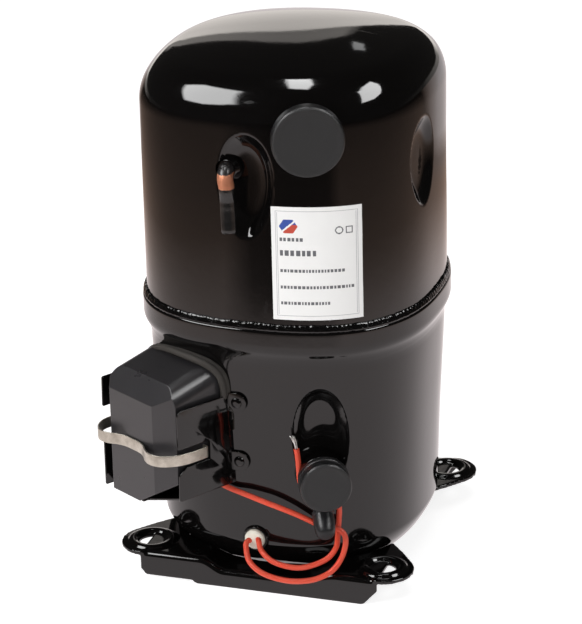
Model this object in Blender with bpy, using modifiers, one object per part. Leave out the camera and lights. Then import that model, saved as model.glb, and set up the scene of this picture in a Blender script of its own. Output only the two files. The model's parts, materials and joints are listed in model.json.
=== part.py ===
"""Hermetic scroll compressor, built as separate pieces.

Frame: metres, +Z up. Origin on the shell axis, in the plane the base rests on.
+X runs along the front mounting rail, the front is -Y.
Dimensions are in millimetres and degrees, and MM scales them when built.
Names ending in _PHI are directions round the axis, from +X towards +Y.
"""
import math

import bmesh
import bpy
from mathutils import Matrix, Vector

MM = 0.001

# ---------------------------------------------------------------- driving dimensions
SHELL_SEGS = 36           # columns round the shell
PLAN = 0.036              # rounded-square plan: 3.6 % in at the flats, out at the corners
WALL = 4.5                # shell wall

UPPER_R = 118.7           # upper shell, mean outer radius
UPPER_BOTTOM_Z = 214.0
UPPER_TOP_Z = 378.8       # end of the straight side
CORNER_R = 36.5
CROWN_R = 390.0
HEIGHT = 425.0
CROWN_LEAN = 0.023        # the crown is slightly out of level
LEAN_PHI = 18.0

BELL_IN_R = 119.1         # belled rim of the lower shell
BELL_OUT_R = 121.9
RIM_Z = 219.5
LEDGE_Z = 207.0           # ledge inside the bell
LOWER_TOP_R = 117.2
LOWER_TOP_Z = 205.0
KNEE_R = 110.0            # where the side turns into the bottom
KNEE_Z = 37.5
KNEE_WIDTH = 41.8
KNEE_POWER = 1.35

SUCTION_PHI, SUCTION_Z = -67.5, 374.5
SUCTION_DROP_R = 55.0     # radius at which the suction tube enters the fixed scroll
DISCHARGE_PHI, DISCHARGE_Z = -64.5, 100.0
SERVICE_PHI, SERVICE_Z = -64.6, 75.0
SERVICE_R = 113.0
SERVICE_TILT = 36.9       # downward slope of the service stub
SERVICE_FALL = 0.75       # the same slope as a ratio
HEATER_PHI, HEATER_Z = -92.3, 40.2
HEATER_R = 103.6
PROCESS_PHI, PROCESS_Z = -98.6, 345.0

BOX_PHI = -121.5          # direction the terminal box faces
TERMINAL_ACROSS, TERMINAL_Z = -8.0, 122.0

ORBIT = 5.0               # orbit radius of the scroll

# ---------------------------------------------------------------- scene set-up
for old_object in list(bpy.data.objects):
    bpy.data.objects.remove(old_object, do_unlink=True)

PARTS = bpy.data.collections.new("scroll_compressor")
bpy.context.scene.collection.children.link(PARTS)
TOOLS = bpy.data.collections.new("working")
bpy.context.scene.collection.children.link(TOOLS)


# ---------------------------------------------------------------- materials
def material(name, colour, rough, metal=0.0, coat=0.0):
    mat = bpy.data.materials.new(name)
    mat.use_nodes = True
    inputs = mat.node_tree.nodes["Principled BSDF"].inputs
    inputs["Base Color"].default_value = (*colour, 1.0)
    inputs["Roughness"].default_value = rough
    inputs["Metallic"].default_value = metal
    inputs["Coat Weight"].default_value = coat
    mat.diffuse_color = (*colour, 1.0)
    return mat


PAINT = material("gloss_black_paint", colour=(0.012, 0.011, 0.012), rough=0.12, coat=0.6)
RUBBER = material("matt_rubber", colour=(0.035, 0.035, 0.037), rough=0.75)
PLASTIC = material("grey_black_plastic", colour=(0.05, 0.05, 0.055), rough=0.42)
TINNED = material("tinned_spring_steel", colour=(0.66, 0.62, 0.55), rough=0.35, metal=0.9)
COPPER = material("copper", colour=(0.72, 0.36, 0.22), rough=0.3, metal=1.0)
STEEL = material("machined_steel", colour=(0.52, 0.52, 0.54), rough=0.35, metal=1.0)
IRON = material("cast_iron", colour=(0.24, 0.24, 0.25), rough=0.6, metal=0.8)
ALLOY = material("aluminium", colour=(0.72, 0.73, 0.75), rough=0.4, metal=1.0)
BRONZE = material("bearing_bronze", colour=(0.62, 0.42, 0.2), rough=0.4, metal=1.0)
LAMINATE = material("lamination_steel", colour=(0.36, 0.37, 0.4), rough=0.5, metal=0.9)
WINDING = material("enamelled_copper", colour=(0.5, 0.2, 0.08), rough=0.4, metal=0.5)
SILICONE = material("red_silicone", colour=(0.8, 0.13, 0.06), rough=0.5)
CREAM = material("cream_seal", colour=(0.82, 0.78, 0.68), rough=0.55)
LABEL = material("white_label", colour=(0.86, 0.86, 0.85), rough=0.45)
SEAL = material("ribbed_seal", colour=(0.11, 0.1, 0.09), rough=0.8)
PHENOLIC = material("phenolic", colour=(0.06, 0.03, 0.02), rough=0.5)


# ---------------------------------------------------------------- places and frames
def polar(radius, deg, z):
    """Point in metres, from cylindrical coordinates."""
    angle = math.radians(deg)
    return Vector((radius * math.cos(angle), radius * math.sin(angle), z)) * MM


def shift(x, y, z):
    return Matrix.Translation((x * MM, y * MM, z * MM))


def upright(radius, deg):
    """Frame standing on the floor plane at a polar place."""
    return Matrix.Translation(polar(radius, deg, 0.0))


def flat(z):
    """Frame of a plate lying at mid-height z."""
    return shift(0, 0, z)


def frame(x_axis, y_axis, z_axis, origin):
    """Matrix with the given local axes; the origin is in metres."""
    matrix = Matrix((x_axis, y_axis, z_axis)).transposed().to_4x4()
    matrix.translation = origin
    return matrix


def radial(deg, radius, z, tilt=0.0):
    """Frame on the shell: local Z outwards (tilted down by tilt), local Y up."""
    angle = math.radians(deg)
    slope = math.radians(tilt)
    outward = Vector((math.cos(angle) * math.cos(slope), math.sin(angle) * math.cos(slope),
                      -math.sin(slope)))
    side = Vector((-math.sin(angle), math.cos(angle), 0.0))
    return frame(side, outward.cross(side), outward, polar(radius, deg, z))


def quarters(start):
    """Four directions a right angle apart."""
    return [start + 90 * i for i in range(4)]


def circle(radius, count, centre=(0.0, 0.0), start=0.0, end=360.0):
    """Points of a full circle, or of an arc with both its ends."""
    full = abs(end - start - 360.0) < 1e-6
    steps = count if full else count - 1
    angles = [math.radians(start + (end - start) * i / steps) for i in range(count)]
    return [(centre[0] + radius * math.cos(a), centre[1] + radius * math.sin(a)) for a in angles]


def rotated(points, deg):
    cos, sin = math.cos(math.radians(deg)), math.sin(math.radians(deg))
    return [(x * cos - y * sin, x * sin + y * cos) for x, y in points]


# ---------------------------------------------------------------- mesh helpers
def new_object(name, mesh, mat=None):
    """A piece if it has a material, otherwise a working tool."""
    mesh.name = name
    obj = bpy.data.objects.new(name, mesh)
    (PARTS if mat else TOOLS).objects.link(obj)
    if mat:
        mesh.materials.clear()
        mesh.materials.append(mat)
    return obj


def mesh_from(name, bm, matrix=Matrix()):
    mesh = bpy.data.meshes.new(name)
    bm.to_mesh(mesh)
    bm.free()
    mesh.transform(matrix)
    return mesh


def take_mesh(obj):
    """Evaluated mesh of obj, in world space, with obj removed."""
    bpy.context.view_layer.update()
    depsgraph = bpy.context.evaluated_depsgraph_get()
    mesh = bpy.data.meshes.new_from_object(obj.evaluated_get(depsgraph))
    mesh.transform(obj.matrix_world)
    bpy.data.objects.remove(obj, do_unlink=True)
    return mesh


def tidy(mesh, weld=0.00001):
    """Weld close vertices (distance in metres) and turn the faces outwards."""
    bm = bmesh.new()
    bm.from_mesh(mesh)
    bmesh.ops.remove_doubles(bm, verts=bm.verts, dist=weld)
    bmesh.ops.dissolve_degenerate(bm, dist=weld * 0.5, edges=bm.edges)
    bmesh.ops.recalc_face_normals(bm, faces=bm.faces)
    bm.to_mesh(mesh)
    bm.free()


def set_origin(obj, point):
    """Put the object's origin at a point without moving its shape."""
    obj.data.transform(Matrix.Translation(-Vector(point)))
    obj.matrix_world = Matrix.Translation(Vector(point))


def lathe(name, profile, segs, mat=None, shape=None, matrix=Matrix(), closed=False):
    """Turn a profile of (radius, z) about Z. A closed profile makes a ring.

    shape maps (radius, angle, z) of each turned point to its final x, y, z.
    """
    mesh = bpy.data.meshes.new(name)
    verts = [(radius * MM, 0.0, z * MM) for radius, z in profile]
    edges = [(i, i + 1) for i in range(len(verts) - 1)]
    if closed:
        edges.append((len(verts) - 1, 0))
    mesh.from_pydata(verts, edges, [])
    source = bpy.data.objects.new(name + "_tmp", mesh)
    TOOLS.objects.link(source)
    screw = source.modifiers.new("turn", "SCREW")
    screw.steps = segs
    screw.render_steps = segs
    screw.use_merge_vertices = True
    screw.merge_threshold = 0.00001
    screw.use_smooth_shade = False
    turned = take_mesh(source)
    if shape is not None:
        for vert in turned.vertices:
            x, y, z = vert.co
            radius = math.hypot(x, y)
            if radius > 1e-7:
                placed = shape(radius / MM, math.atan2(y, x), z / MM)
                vert.co = [value * MM for value in placed]
    turned.transform(matrix)
    tidy(turned)
    return new_object(name, turned, mat)


def ring(name, inner, outer, top, bottom, segs, mat=None, **options):
    """Turned ring of rectangular section."""
    profile = [(inner, top), (outer, top), (outer, bottom), (inner, bottom)]
    return lathe(name, profile, segs, mat, closed=True, **options)


def from_curve(name, curve, paths, cyclic, matrix, mat):
    """Object made from poly splines through paths of points in metres."""
    for path in paths:
        spline = curve.splines.new("POLY")
        spline.points.add(len(path) - 1)
        for point, place in zip(spline.points, path):
            point.co = (*place, 1.0)
        spline.use_cyclic_u = cyclic
    source = bpy.data.objects.new(name + "_tmp", curve)
    TOOLS.objects.link(source)
    source.matrix_world = matrix
    mesh = take_mesh(source)
    tidy(mesh)
    return new_object(name, mesh, mat)


def plate(name, outlines, thick, matrix, mat=None):
    """Flat plate from closed outlines; the first is the edge, the others holes."""
    curve = bpy.data.curves.new(name, "CURVE")
    curve.dimensions = "2D"
    curve.fill_mode = "BOTH"
    curve.extrude = thick * 0.5 * MM
    paths = [[(x * MM, y * MM, 0.0) for x, y in outline] for outline in outlines]
    return from_curve(name, curve, paths, True, matrix, mat)


def wire(name, points, radius, mat=None, res=2):
    """Round wire through points given in metres."""
    curve = bpy.data.curves.new(name, "CURVE")
    curve.dimensions = "3D"
    curve.bevel_depth = radius * MM
    curve.bevel_resolution = res
    curve.use_fill_caps = True
    return from_curve(name, curve, [points], False, Matrix(), mat)


def box_between(bm, low, high):
    """Add a box between two corners to bm."""
    bmesh.ops.create_cube(bm, size=1.0)
    for vert in bm.verts:
        vert.co = Vector([((low[i] + high[i]) * 0.5 + vert.co[i] * (high[i] - low[i])) * MM
                          for i in range(3)])


def box(name, low, high, matrix=Matrix(), mat=None):
    bm = bmesh.new()
    box_between(bm, low, high)
    return new_object(name, mesh_from(name, bm, matrix), mat)


def rod(name, radius, bottom, top, segs, matrix=Matrix(), mat=None):
    bm = bmesh.new()
    bmesh.ops.create_cone(bm, cap_ends=True, cap_tris=False, segments=segs,
                          radius1=radius * MM, radius2=radius * MM, depth=(top - bottom) * MM)
    bmesh.ops.translate(bm, verts=bm.verts, vec=(0, 0, (bottom + top) * 0.5 * MM))
    return new_object(name, mesh_from(name, bm, matrix), mat)


def combine(obj, tool, operation):
    """Boolean obj with tool, keep obj, drop tool."""
    boolean = obj.modifiers.new("b", "BOOLEAN")
    boolean.operation = operation
    boolean.solver = "EXACT"
    boolean.object = tool
    bpy.context.view_layer.update()
    depsgraph = bpy.context.evaluated_depsgraph_get()
    mesh = bpy.data.meshes.new_from_object(obj.evaluated_get(depsgraph))
    obj.modifiers.clear()
    old = obj.data
    mats = list(old.materials)
    obj.data = mesh
    mesh.materials.clear()
    for mat in mats:
        mesh.materials.append(mat)
    bpy.data.meshes.remove(old)
    tool_mesh = tool.data
    bpy.data.objects.remove(tool, do_unlink=True)
    bpy.data.meshes.remove(tool_mesh)
    tidy(obj.data, 0.000004)


def cut(obj, tool):
    combine(obj, tool, "DIFFERENCE")


def join(obj, tool):
    combine(obj, tool, "UNION")


def drill(obj, radius, bottom, top, segs, matrix=Matrix()):
    """Cut a round hole along the local Z of matrix."""
    cut(obj, rod("tool", radius, bottom, top, segs, matrix))


# ---------------------------------------------------------------- shell shapes
# pressed recesses: direction, centre height, half width, half height, depth
UPPER_RECESSES = ((-91.0, 333.5, 21.5, 39.0, 8.0), (-15.0, 335.0, 19.0, 31.0, 7.0))
LOWER_RECESSES = ((-64.5, 127.0, 19.5, 41.0, 6.5),)
RECESS_EDGE = 1.25        # a recess fades out at this multiple of its half sizes
LEAN_FROM_Z, LEAN_SPAN = 340.0, 60.0   # the lean grows to its full value over this span

UPPER_SIDE_Z = (361.0, 343.0, 325.0, 307.0, 289.0)
LOWER_SIDE_Z = (168.0, 151.0, 134.0, 117.0, 104.0, 83.0, 60.0)
LOWER_OUTSIDE_TOP_Z = 194.0   # outside of the side, below the bell
KNEE_STEPS = 5


def plan(phi):
    """Plan factor of the shell at angle phi (radians)."""
    return 1.0 - PLAN * math.cos(4.0 * phi)


def surface_normal_deg(deg):
    """Direction of the shell's outward normal at a direction round the axis."""
    phi = math.radians(deg)
    slope = 4.0 * PLAN * math.sin(4.0 * phi) / plan(phi)
    return deg - math.degrees(math.atan(slope))


def lower_radius(z):
    """Mean outer radius of the lower shell at height z, from knee to bell."""
    return KNEE_R + (LOWER_TOP_R - KNEE_R) * (z - KNEE_Z) / (LOWER_TOP_Z - KNEE_Z)


def recess_depth(phi, z, radius, recesses):
    depth = 0.0
    for centre, centre_z, half_width, half_height, full in recesses:
        turn = phi - math.radians(centre)
        along = math.atan2(math.sin(turn), math.cos(turn)) * radius
        reach = math.hypot(along / half_width, (z - centre_z) / half_height)
        if reach < RECESS_EDGE:
            fade = reach / RECESS_EDGE
            # the factor above one gives the recess a flat floor
            depth += full * min(1.0, (1.0 - fade * fade * (3.0 - 2.0 * fade)) * 1.5)
    return depth


def shell_shape(recesses, full_r):
    """Shape for lathe: the square plan, in full from about full_r outwards, and the recesses."""
    def shape(radius, phi, z):
        share = (radius / full_r) ** 2 if radius < full_r * 0.97 else 1.0
        out = radius * (1.0 - PLAN * share * math.cos(4.0 * phi))
        if radius > full_r * 0.8:
            out -= recess_depth(phi, z, radius, recesses)
        lift = (CROWN_LEAN * out * math.cos(phi - math.radians(LEAN_PHI))
                * max(0.0, min(1.0, (z - LEAN_FROM_Z) / LEAN_SPAN)))
        return out * math.cos(phi), out * math.sin(phi), z + lift
    return shape


def plan_only(radius, phi, z):
    out = radius * plan(phi)
    return out * math.cos(phi), out * math.sin(phi), z


def upper_profile(inset, crown_steps, corner_steps):
    """Profile of the dome, moved inwards by inset, from the crown down."""
    crown = CROWN_R - inset
    corner = CORNER_R - inset
    corner_centre = UPPER_R - CORNER_R
    crown_centre_z = HEIGHT - CROWN_R
    meet = math.atan2(UPPER_TOP_Z - crown_centre_z, corner_centre)
    points = [(0.0, HEIGHT - inset)]
    for i in range(1, crown_steps):
        angle = math.pi / 2 + (meet - math.pi / 2) * i / crown_steps
        points.append((crown * math.cos(angle), crown_centre_z + crown * math.sin(angle)))
    for i in range(corner_steps + 1):
        angle = meet * (1.0 - i / corner_steps)
        points.append((corner_centre + corner * math.cos(angle),
                       UPPER_TOP_Z + corner * math.sin(angle)))
    return points + [(UPPER_R - inset, z) for z in (*UPPER_SIDE_Z, UPPER_BOTTOM_Z)]


def lower_profile(inset, top=LOWER_TOP_Z):
    """Bowl profile from the bell's foot down to the centre of the bottom."""
    points = [(lower_radius(z) - inset, z) for z in (top, *LOWER_SIDE_Z)]
    for i in range(KNEE_STEPS + 1):
        angle = math.radians(90.0 * i / KNEE_STEPS)
        points.append((KNEE_R - KNEE_WIDTH + (KNEE_WIDTH - inset) * math.cos(angle) ** KNEE_POWER,
                       KNEE_Z - (KNEE_Z - inset) * math.sin(angle) ** KNEE_POWER))
    return points + [(0.0, inset)]


def bowl_tool(grow):
    """Solid lower shell, grown by grow, that trims what stands against it."""
    top = LOWER_TOP_Z + 1.0
    profile = [(0.0, top), (LOWER_TOP_R + grow, top)] + lower_profile(-grow)
    return lathe("tool", profile, SHELL_SEGS, shape=shell_shape(LOWER_RECESSES, 113.0))


# ---------------------------------------------------------------- terminal box frame
# Seen from outside the box: across runs to the right, out away from the shell.
UP = Vector((0, 0, 1))
BOX_OUT = Vector((math.cos(math.radians(BOX_PHI)), math.sin(math.radians(BOX_PHI)), 0.0))
BOX_ACROSS = Vector((-math.sin(math.radians(BOX_PHI)), math.cos(math.radians(BOX_PHI)), 0.0))


def in_box(across, out, z):
    """Point in metres from box coordinates."""
    return BOX_ACROSS * across * MM + BOX_OUT * out * MM + Vector((0, 0, z * MM))


def box_front(out):
    """Plate frame with outline axes (across, z)."""
    return frame(BOX_ACROSS, UP, BOX_OUT, in_box(0, out, 0))


def box_side(across):
    """Plate frame with outline axes (out, z)."""
    return frame(BOX_OUT, UP, -BOX_ACROSS, in_box(across, 0, 0))


def box_flat(z):
    """Plate frame with outline axes (across, out)."""
    return frame(BOX_ACROSS, BOX_OUT, -UP, in_box(0, 0, z))


# sealed terminal: local Z outwards from the shell axis
TERMINAL = frame(BOX_ACROSS, UP, BOX_OUT, in_box(TERMINAL_ACROSS, 0, TERMINAL_Z))


# ---------------------------------------------------------------- shells
SUCTION_HOLE_R = 17.9
DISCHARGE_HOLE_R = 11.5
SERVICE_HOLE_R = 6.7
PROCESS_HOLE_R = 8.4
HEATER_HOLE_R = 10.0
TERMINAL_HOLE_R = 22.0


def service_frame(radius):
    """Frame on the sloping axis of the service stub."""
    return radial(SERVICE_PHI, radius, SERVICE_Z - (radius - SERVICE_R) * SERVICE_FALL,
                  SERVICE_TILT)


def build_upper_shell():
    outside = upper_profile(0.0, crown_steps=3, corner_steps=6)
    inside = upper_profile(WALL, crown_steps=2, corner_steps=4)
    shell = lathe("upper_shell", outside + inside[::-1], SHELL_SEGS, PAINT,
                  shape=shell_shape(UPPER_RECESSES, UPPER_R - WALL))
    drill(shell, SUCTION_HOLE_R, -30, 40, 24, radial(SUCTION_PHI, 114.0, SUCTION_Z))
    drill(shell, PROCESS_HOLE_R, -24, 24, 16, radial(PROCESS_PHI, 112.0, PROCESS_Z))


def build_lower_shell():
    inside = lower_profile(WALL)
    ledge = [(LOWER_TOP_R - WALL, LEDGE_Z), (BELL_IN_R, LEDGE_Z)]
    bell = [(BELL_IN_R, RIM_Z), (BELL_OUT_R - 0.8, RIM_Z), (BELL_OUT_R, RIM_Z - 1.2),
            (BELL_OUT_R, 203.5), (BELL_OUT_R - 1.6, 198.5)]
    outside = lower_profile(0.0, top=LOWER_OUTSIDE_TOP_Z)
    shell = lathe("lower_shell", inside[::-1] + ledge + bell + outside, SHELL_SEGS, PAINT,
                  shape=shell_shape(LOWER_RECESSES, 108.0))
    drill(shell, DISCHARGE_HOLE_R, -30, 30, 24, radial(DISCHARGE_PHI, 112.0, DISCHARGE_Z))
    drill(shell, SERVICE_HOLE_R, -24, 24, 16, service_frame(108.0))
    drill(shell, HEATER_HOLE_R, -20, 30, 20, radial(HEATER_PHI, HEATER_R, HEATER_Z))
    drill(shell, TERMINAL_HOLE_R, 90, 140, 28, TERMINAL)


def build_girth_weld():
    profile = [(UPPER_R + 0.4, 219.9), (UPPER_R + 0.4, 224.6), (UPPER_R + 1.5, 224.2),
               (BELL_OUT_R - 0.8, 222.2), (BELL_OUT_R - 0.4, 221.0), (BELL_OUT_R - 1.0, 219.9)]
    lathe("girth_weld", profile, SHELL_SEGS, PAINT, shape=plan_only, closed=True)


# ---------------------------------------------------------------- stubs and plugs
# profiles: (radius, distance out along the stub)
SUCTION_STUB = [(14.3, 9), (17.5, 9), (17.5, -14), (9.7, -14), (9.7, -7), (14.3, -7)]
# the suction plug has a spigot in the bore and a skirt round the stub
SUCTION_PLUG = [(0, 14.5), (25.5, 14.5), (27.5, 12.5), (27.5, 4.6), (25.9, 3.0), (18.2, 3.0),
                (18.2, 10.2), (13.8, 10.2), (13.8, 2.0), (12.0, 0.5), (0, 0.5)]
DISCHARGE_PLUG = [(0, 31.0), (18.4, 31.0), (20.0, 29.4), (20.0, 21.5), (19.2, 20.7),
                  (20.0, 19.9), (20.0, 15.0), (18.9, 14.0), (11.7, 14.0), (11.7, 25.0),
                  (8.9, 25.0), (8.9, 18.0), (7.5, 16.5), (0, 16.5)]
SERVICE_CAP = [(0, 31.0), (3.8, 30.4), (6.6, 28.0), (8.1, 24.0), (8.3, 19.0), (8.3, 9.0),
               (6.9, 9.0), (6.9, 22.0), (4.3, 22.0), (4.3, 15.0), (0, 15.0)]

PROCESS_TUBE_R = 6.0
PROCESS_STRAIGHT_R = 113.8    # radius at which the tube starts to bend
PROCESS_BEND_OUT, PROCESS_BEND_DROP = 8.2, 8.5
PROCESS_DOWN_R = PROCESS_STRAIGHT_R + PROCESS_BEND_OUT
PROCESS_BEND_STEPS = 5
# flattened tail of the process tube: (across, up)
PROCESS_TAIL = [(-5.2, 17), (5.2, 17), (7.6, 7), (7.8, -17), (6.6, -19), (-6.6, -19),
                (-7.8, -17), (-7.6, 7)]


def rubber_plug(name, profile, segs, stub_frame):
    """Plug with its origin at the origin of its stub."""
    plug = lathe(name, profile, segs, RUBBER, matrix=stub_frame)
    set_origin(plug, stub_frame.translation)


def build_suction_stub():
    place = radial(SUCTION_PHI, 118.0, SUCTION_Z)
    lathe("suction_stub", SUCTION_STUB, 24, COPPER, matrix=place, closed=True)
    rubber_plug("suction_plug", SUCTION_PLUG, 28, place)


def build_discharge_stub():
    place = radial(DISCHARGE_PHI, 112.0, DISCHARGE_Z)
    ring("discharge_stub", 9.4, 11.1, 24, -9, 24, COPPER, matrix=place)
    rubber_plug("discharge_plug", DISCHARGE_PLUG, 22, place)


def build_service_stub():
    place = service_frame(SERVICE_R)
    ring("service_stub", 4.8, 6.3, 20, -6, 16, STEEL, matrix=place)
    rubber_plug("service_cap", SERVICE_CAP, 16, place)


def build_process_tube():
    """Tube straight out of its collar, turned down, flattened at the tail."""
    ring("process_collar", 6.4, 8.0, 2.6, -6, 16, STEEL,
         matrix=radial(PROCESS_PHI, 110.5, PROCESS_Z))
    points = [polar(100.0, PROCESS_PHI, PROCESS_Z),
              polar(PROCESS_STRAIGHT_R, PROCESS_PHI, PROCESS_Z)]
    for i in range(1, PROCESS_BEND_STEPS):
        angle = math.radians(90.0 * i / PROCESS_BEND_STEPS)
        points.append(polar(PROCESS_STRAIGHT_R + PROCESS_BEND_OUT * math.sin(angle),
                            PROCESS_PHI + 0.3 * i,
                            PROCESS_Z - PROCESS_BEND_DROP * (1 - math.cos(angle))))
    points.append(polar(PROCESS_DOWN_R, PROCESS_PHI + 1.6, PROCESS_Z - 9.0))
    points.append(polar(PROCESS_DOWN_R, PROCESS_PHI + 1.9, PROCESS_Z - 20.0))
    tube = wire("process_tube", points, PROCESS_TUBE_R, COPPER, 1)
    tail_frame = radial(PROCESS_PHI + 2.2, PROCESS_DOWN_R, PROCESS_Z - 34.0)
    join(tube, plate("tool", [PROCESS_TAIL], 4.6, tail_frame))


# ---------------------------------------------------------------- base rails
HOLE_HALF = 190.5 / 2     # half the square mounting pitch of 7.5 in
EAR_Z = 22.0              # top of the flat of the ears
EAR_R = 24.5
EAR_HOLE_R = 10.0
EAR_SINK_R = 13.0         # the hole widens to this at the rim
RAIL_T = 3.0
RAIL_Y = 119.0            # outer face of the rail flange
FLANGE_HALF = 97.0        # end of the flange along X
WEB_HALF = 125.0          # end of the untrimmed web along X
WEB_BACK_Y = 50.0
WEB_FRONT_Y = RAIL_Y - 0.4
DIP = 8.0                 # drop of the web between the ears
DIP_LEFT = (-46.0, -30.0)     # start and end of the left slope along X
DIP_RIGHT = (32.0, 62.0)
FLANGE_FOOT = [(89.0, 0.0), (-52.0, 0.0), (-54.0, 2.5), (-94.5, 2.5)]   # (x, z)
# raised rim of an ear: (radius, height above the ear)
EAR_RIM = [(0, 2.6), (17.8, 2.6), (19.6, 0.8), (19.6, -1.5), (0, -1.5)]
EAR_HOLE = [(0, 6), (EAR_SINK_R, 6), (EAR_SINK_R, 2.0), (EAR_HOLE_R, -1.0), (EAR_HOLE_R, -8),
            (0, -8)]


def rail_height(x):
    """Top of the rail's web along x."""
    left_start, left_end = DIP_LEFT
    right_start, right_end = DIP_RIGHT
    if x <= left_start or x >= right_end:
        return EAR_Z
    if x < left_end:
        return EAR_Z - DIP * (x - left_start) / (left_end - left_start)
    if x <= right_start:
        return EAR_Z - DIP
    return EAR_Z - DIP * (right_end - x) / (right_end - right_start)


def rail_plan():
    """Outline (x, distance from the X axis) that trims the web to its ears."""
    return ([(-FLANGE_HALF, 121), (FLANGE_HALF, 121)]
            + circle(EAR_R, 12, (HOLE_HALF, HOLE_HALF), 75, -38)
            + [(104, 66), (92, 52), (70, 52)]
            + circle(92.5, 10, start=45, end=135)
            + [(-70, 52), (-92, 52), (-104, 66)]
            + circle(EAR_R, 12, (-HOLE_HALF, HOLE_HALF), 218, 105))


def build_rail(name, side):
    """Stamped rail: dropped web, flange, two rimmed ears. side is -1 at the front."""
    def across_y(distance):
        """Plate frame with outline axes (x, z)."""
        return frame((1, 0, 0), (0, 0, 1), (0, 1, 0), (0, side * distance * MM, 0))

    def raised(profile):
        return [(radius, EAR_Z + z) for radius, z in profile]

    dip = [DIP_LEFT[0], sum(DIP_LEFT) / 2, DIP_LEFT[1],
           DIP_RIGHT[0], sum(DIP_RIGHT) / 2, DIP_RIGHT[1]]
    top = [(x, rail_height(x) - 0.8) for x in [-FLANGE_HALF] + dip + [FLANGE_HALF]]
    rail = plate(name, [top + FLANGE_FOOT], RAIL_T, across_y(RAIL_Y - RAIL_T / 2), PAINT)

    top = [(x, rail_height(x)) for x in [-WEB_HALF] + dip + [WEB_HALF]]
    under = [(x, z - RAIL_T) for x, z in top[::-1]]
    web = plate("tool", [top + under], WEB_FRONT_Y - WEB_BACK_Y,
                across_y((WEB_FRONT_Y + WEB_BACK_Y) / 2))
    trim = plate("tool", [[(x, side * y) for x, y in rail_plan()]], 40.0, flat(EAR_Z))
    combine(web, trim, "INTERSECT")
    join(rail, web)
    for end in (-1, 1):
        ear = shift(end * HOLE_HALF, side * HOLE_HALF, 0)
        join(rail, lathe("tool", raised(EAR_RIM), 20, matrix=ear))
        cut(rail, lathe("tool", raised(EAR_HOLE), 20, matrix=ear))
    cut(rail, bowl_tool(0.4))


# ---------------------------------------------------------------- terminal fence and seal
SHEET = 1.5
FENCE_RIGHT = [(96, 161.5), (154.5, 161.5), (157, 159), (157, 130), (126, 130), (126, 114.0),
               (149, 114.0), (156.5, 109), (157, 87), (96, 87)]                 # (out, z)
FENCE_LEFT = [(92, 163.5), (158, 163.5), (158.5, 138.5), (128, 138.5), (128, 108.5),
              (158.5, 108.5), (158.5, 71.5), (92, 71.5)]                        # (out, z)
FENCE_BOTTOM = [(-53.4, 84), (-53.4, 150), (-12, 150), (-9, 157), (-6.5, 157),
                (-6.5, 84)]                                                     # (across, out)
FENCE_RAMP = [(-7.2, 71.6), (39.6, 87.6), (39.6, 89.2), (-7.2, 73.1)]           # (across, z)
FENCE_EARS = (("upper", 156.0), ("lower", 106.0))     # name and height
FENCE_EAR_PHI = -97.6
FENCE_EAR_OUTLINE = ([(-8.4, -7.5)] + circle(8.0, 10, start=-90, end=90)
                     + [(-8.4, 7.5)])
# (radius, distance out from the ear)
RIVET = [(0, 2.6), (2.2, 2.5), (3.9, 1.7), (4.2, 1.1), (2.2, 1.1), (2.2, -0.9), (0, -0.9)]
# arch behind the cover: (across, z)
SEAL_ARCH = [(-49.5, 76.0), (-41.0, 76.0), (-40.0, 169.0), (-34.0, 177.0), (26.0, 177.0),
             (32.0, 168.0), (31.0, 112.0), (37.0, 112.0), (37.0, 164.6), (42.5, 164.6),
             (43.0, 174.0), (39.5, 184.0), (31.0, 191.5), (-30.0, 191.5), (-45.0, 184.0),
             (-51.3, 174.0), (-51.3, 165.0), (-49.5, 163.0)]


def fence_ear_frame(z):
    """Tangent frame of a fence ear, just off the shell."""
    matrix = radial(surface_normal_deg(FENCE_EAR_PHI), 0.0, 0.0)
    radius = lower_radius(z) * plan(math.radians(FENCE_EAR_PHI)) + 1.6
    matrix.translation = polar(radius, FENCE_EAR_PHI, z)
    return matrix


def build_fence():
    """Right and left plates, a bottom plate with its ramp, two ears on the shell."""
    fence = plate("terminal_fence", [FENCE_RIGHT], SHEET, box_side(39.3), PAINT)
    for outline, thick, place in ((FENCE_LEFT, SHEET, box_side(-52.8)),
                                  (FENCE_BOTTOM, SHEET, box_flat(72.3)),
                                  (FENCE_RAMP, 33.0, box_front(137.5))):
        join(fence, plate("tool", [outline], thick, place))
    for _, z in FENCE_EARS:
        place = fence_ear_frame(z)
        join(fence, plate("tool", [FENCE_EAR_OUTLINE], SHEET, place))
        drill(fence, 2.6, -4, 4, 12, place)
    cut(fence, bowl_tool(0.45))


def build_fence_rivets():
    for position, z in FENCE_EARS:
        lathe("fence_rivet_" + position, RIVET, 12, STEEL, matrix=fence_ear_frame(z))


def build_terminal_seal():
    seal = plate("terminal_seal", [SEAL_ARCH], 34.0, box_front(104.6), SEAL)
    cut(seal, bowl_tool(0.5))


# ---------------------------------------------------------------- terminal cover and strap
COVER_LEFT, COVER_RIGHT = -43.0, 35.0     # across
COVER_BOTTOM_Z, COVER_TOP_Z = 74.5, 177.0
COVER_CENTRE_Z = 126.0
COVER_BACK, COVER_FRONT = 122.0, 162.0    # out
COVER_WALL = 2.4
COVER_CREASE = 151.0      # out, where the top breaks into the sloped front
COVER_RISE = 0.23         # slope of the top up towards the shell
COVER_ROUND_R = 11.0

STRAP_Z = 122.0
# centre line (across, out): hooked ends, two humps, a dip towards the cover
STRAP_LINE = [(-47.5, 131.0), (-54.9, 131.0), (-55.6, 134.0), (-55.6, 147.0), (-54.6, 157.0),
              (-49.5, 165.5), (-43.0, 170.2), (-37.0, 171.0), (-31.0, 169.3), (-25.0, 165.8),
              (-18.0, 163.6), (-9.0, 163.2), (1.0, 163.6), (8.0, 166.0), (14.0, 169.4),
              (21.0, 171.5), (28.0, 170.5), (34.0, 166.5), (39.0, 159.0), (41.8, 149.0),
              (42.2, 134.0), (41.4, 130.0), (36.6, 130.0)]


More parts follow.
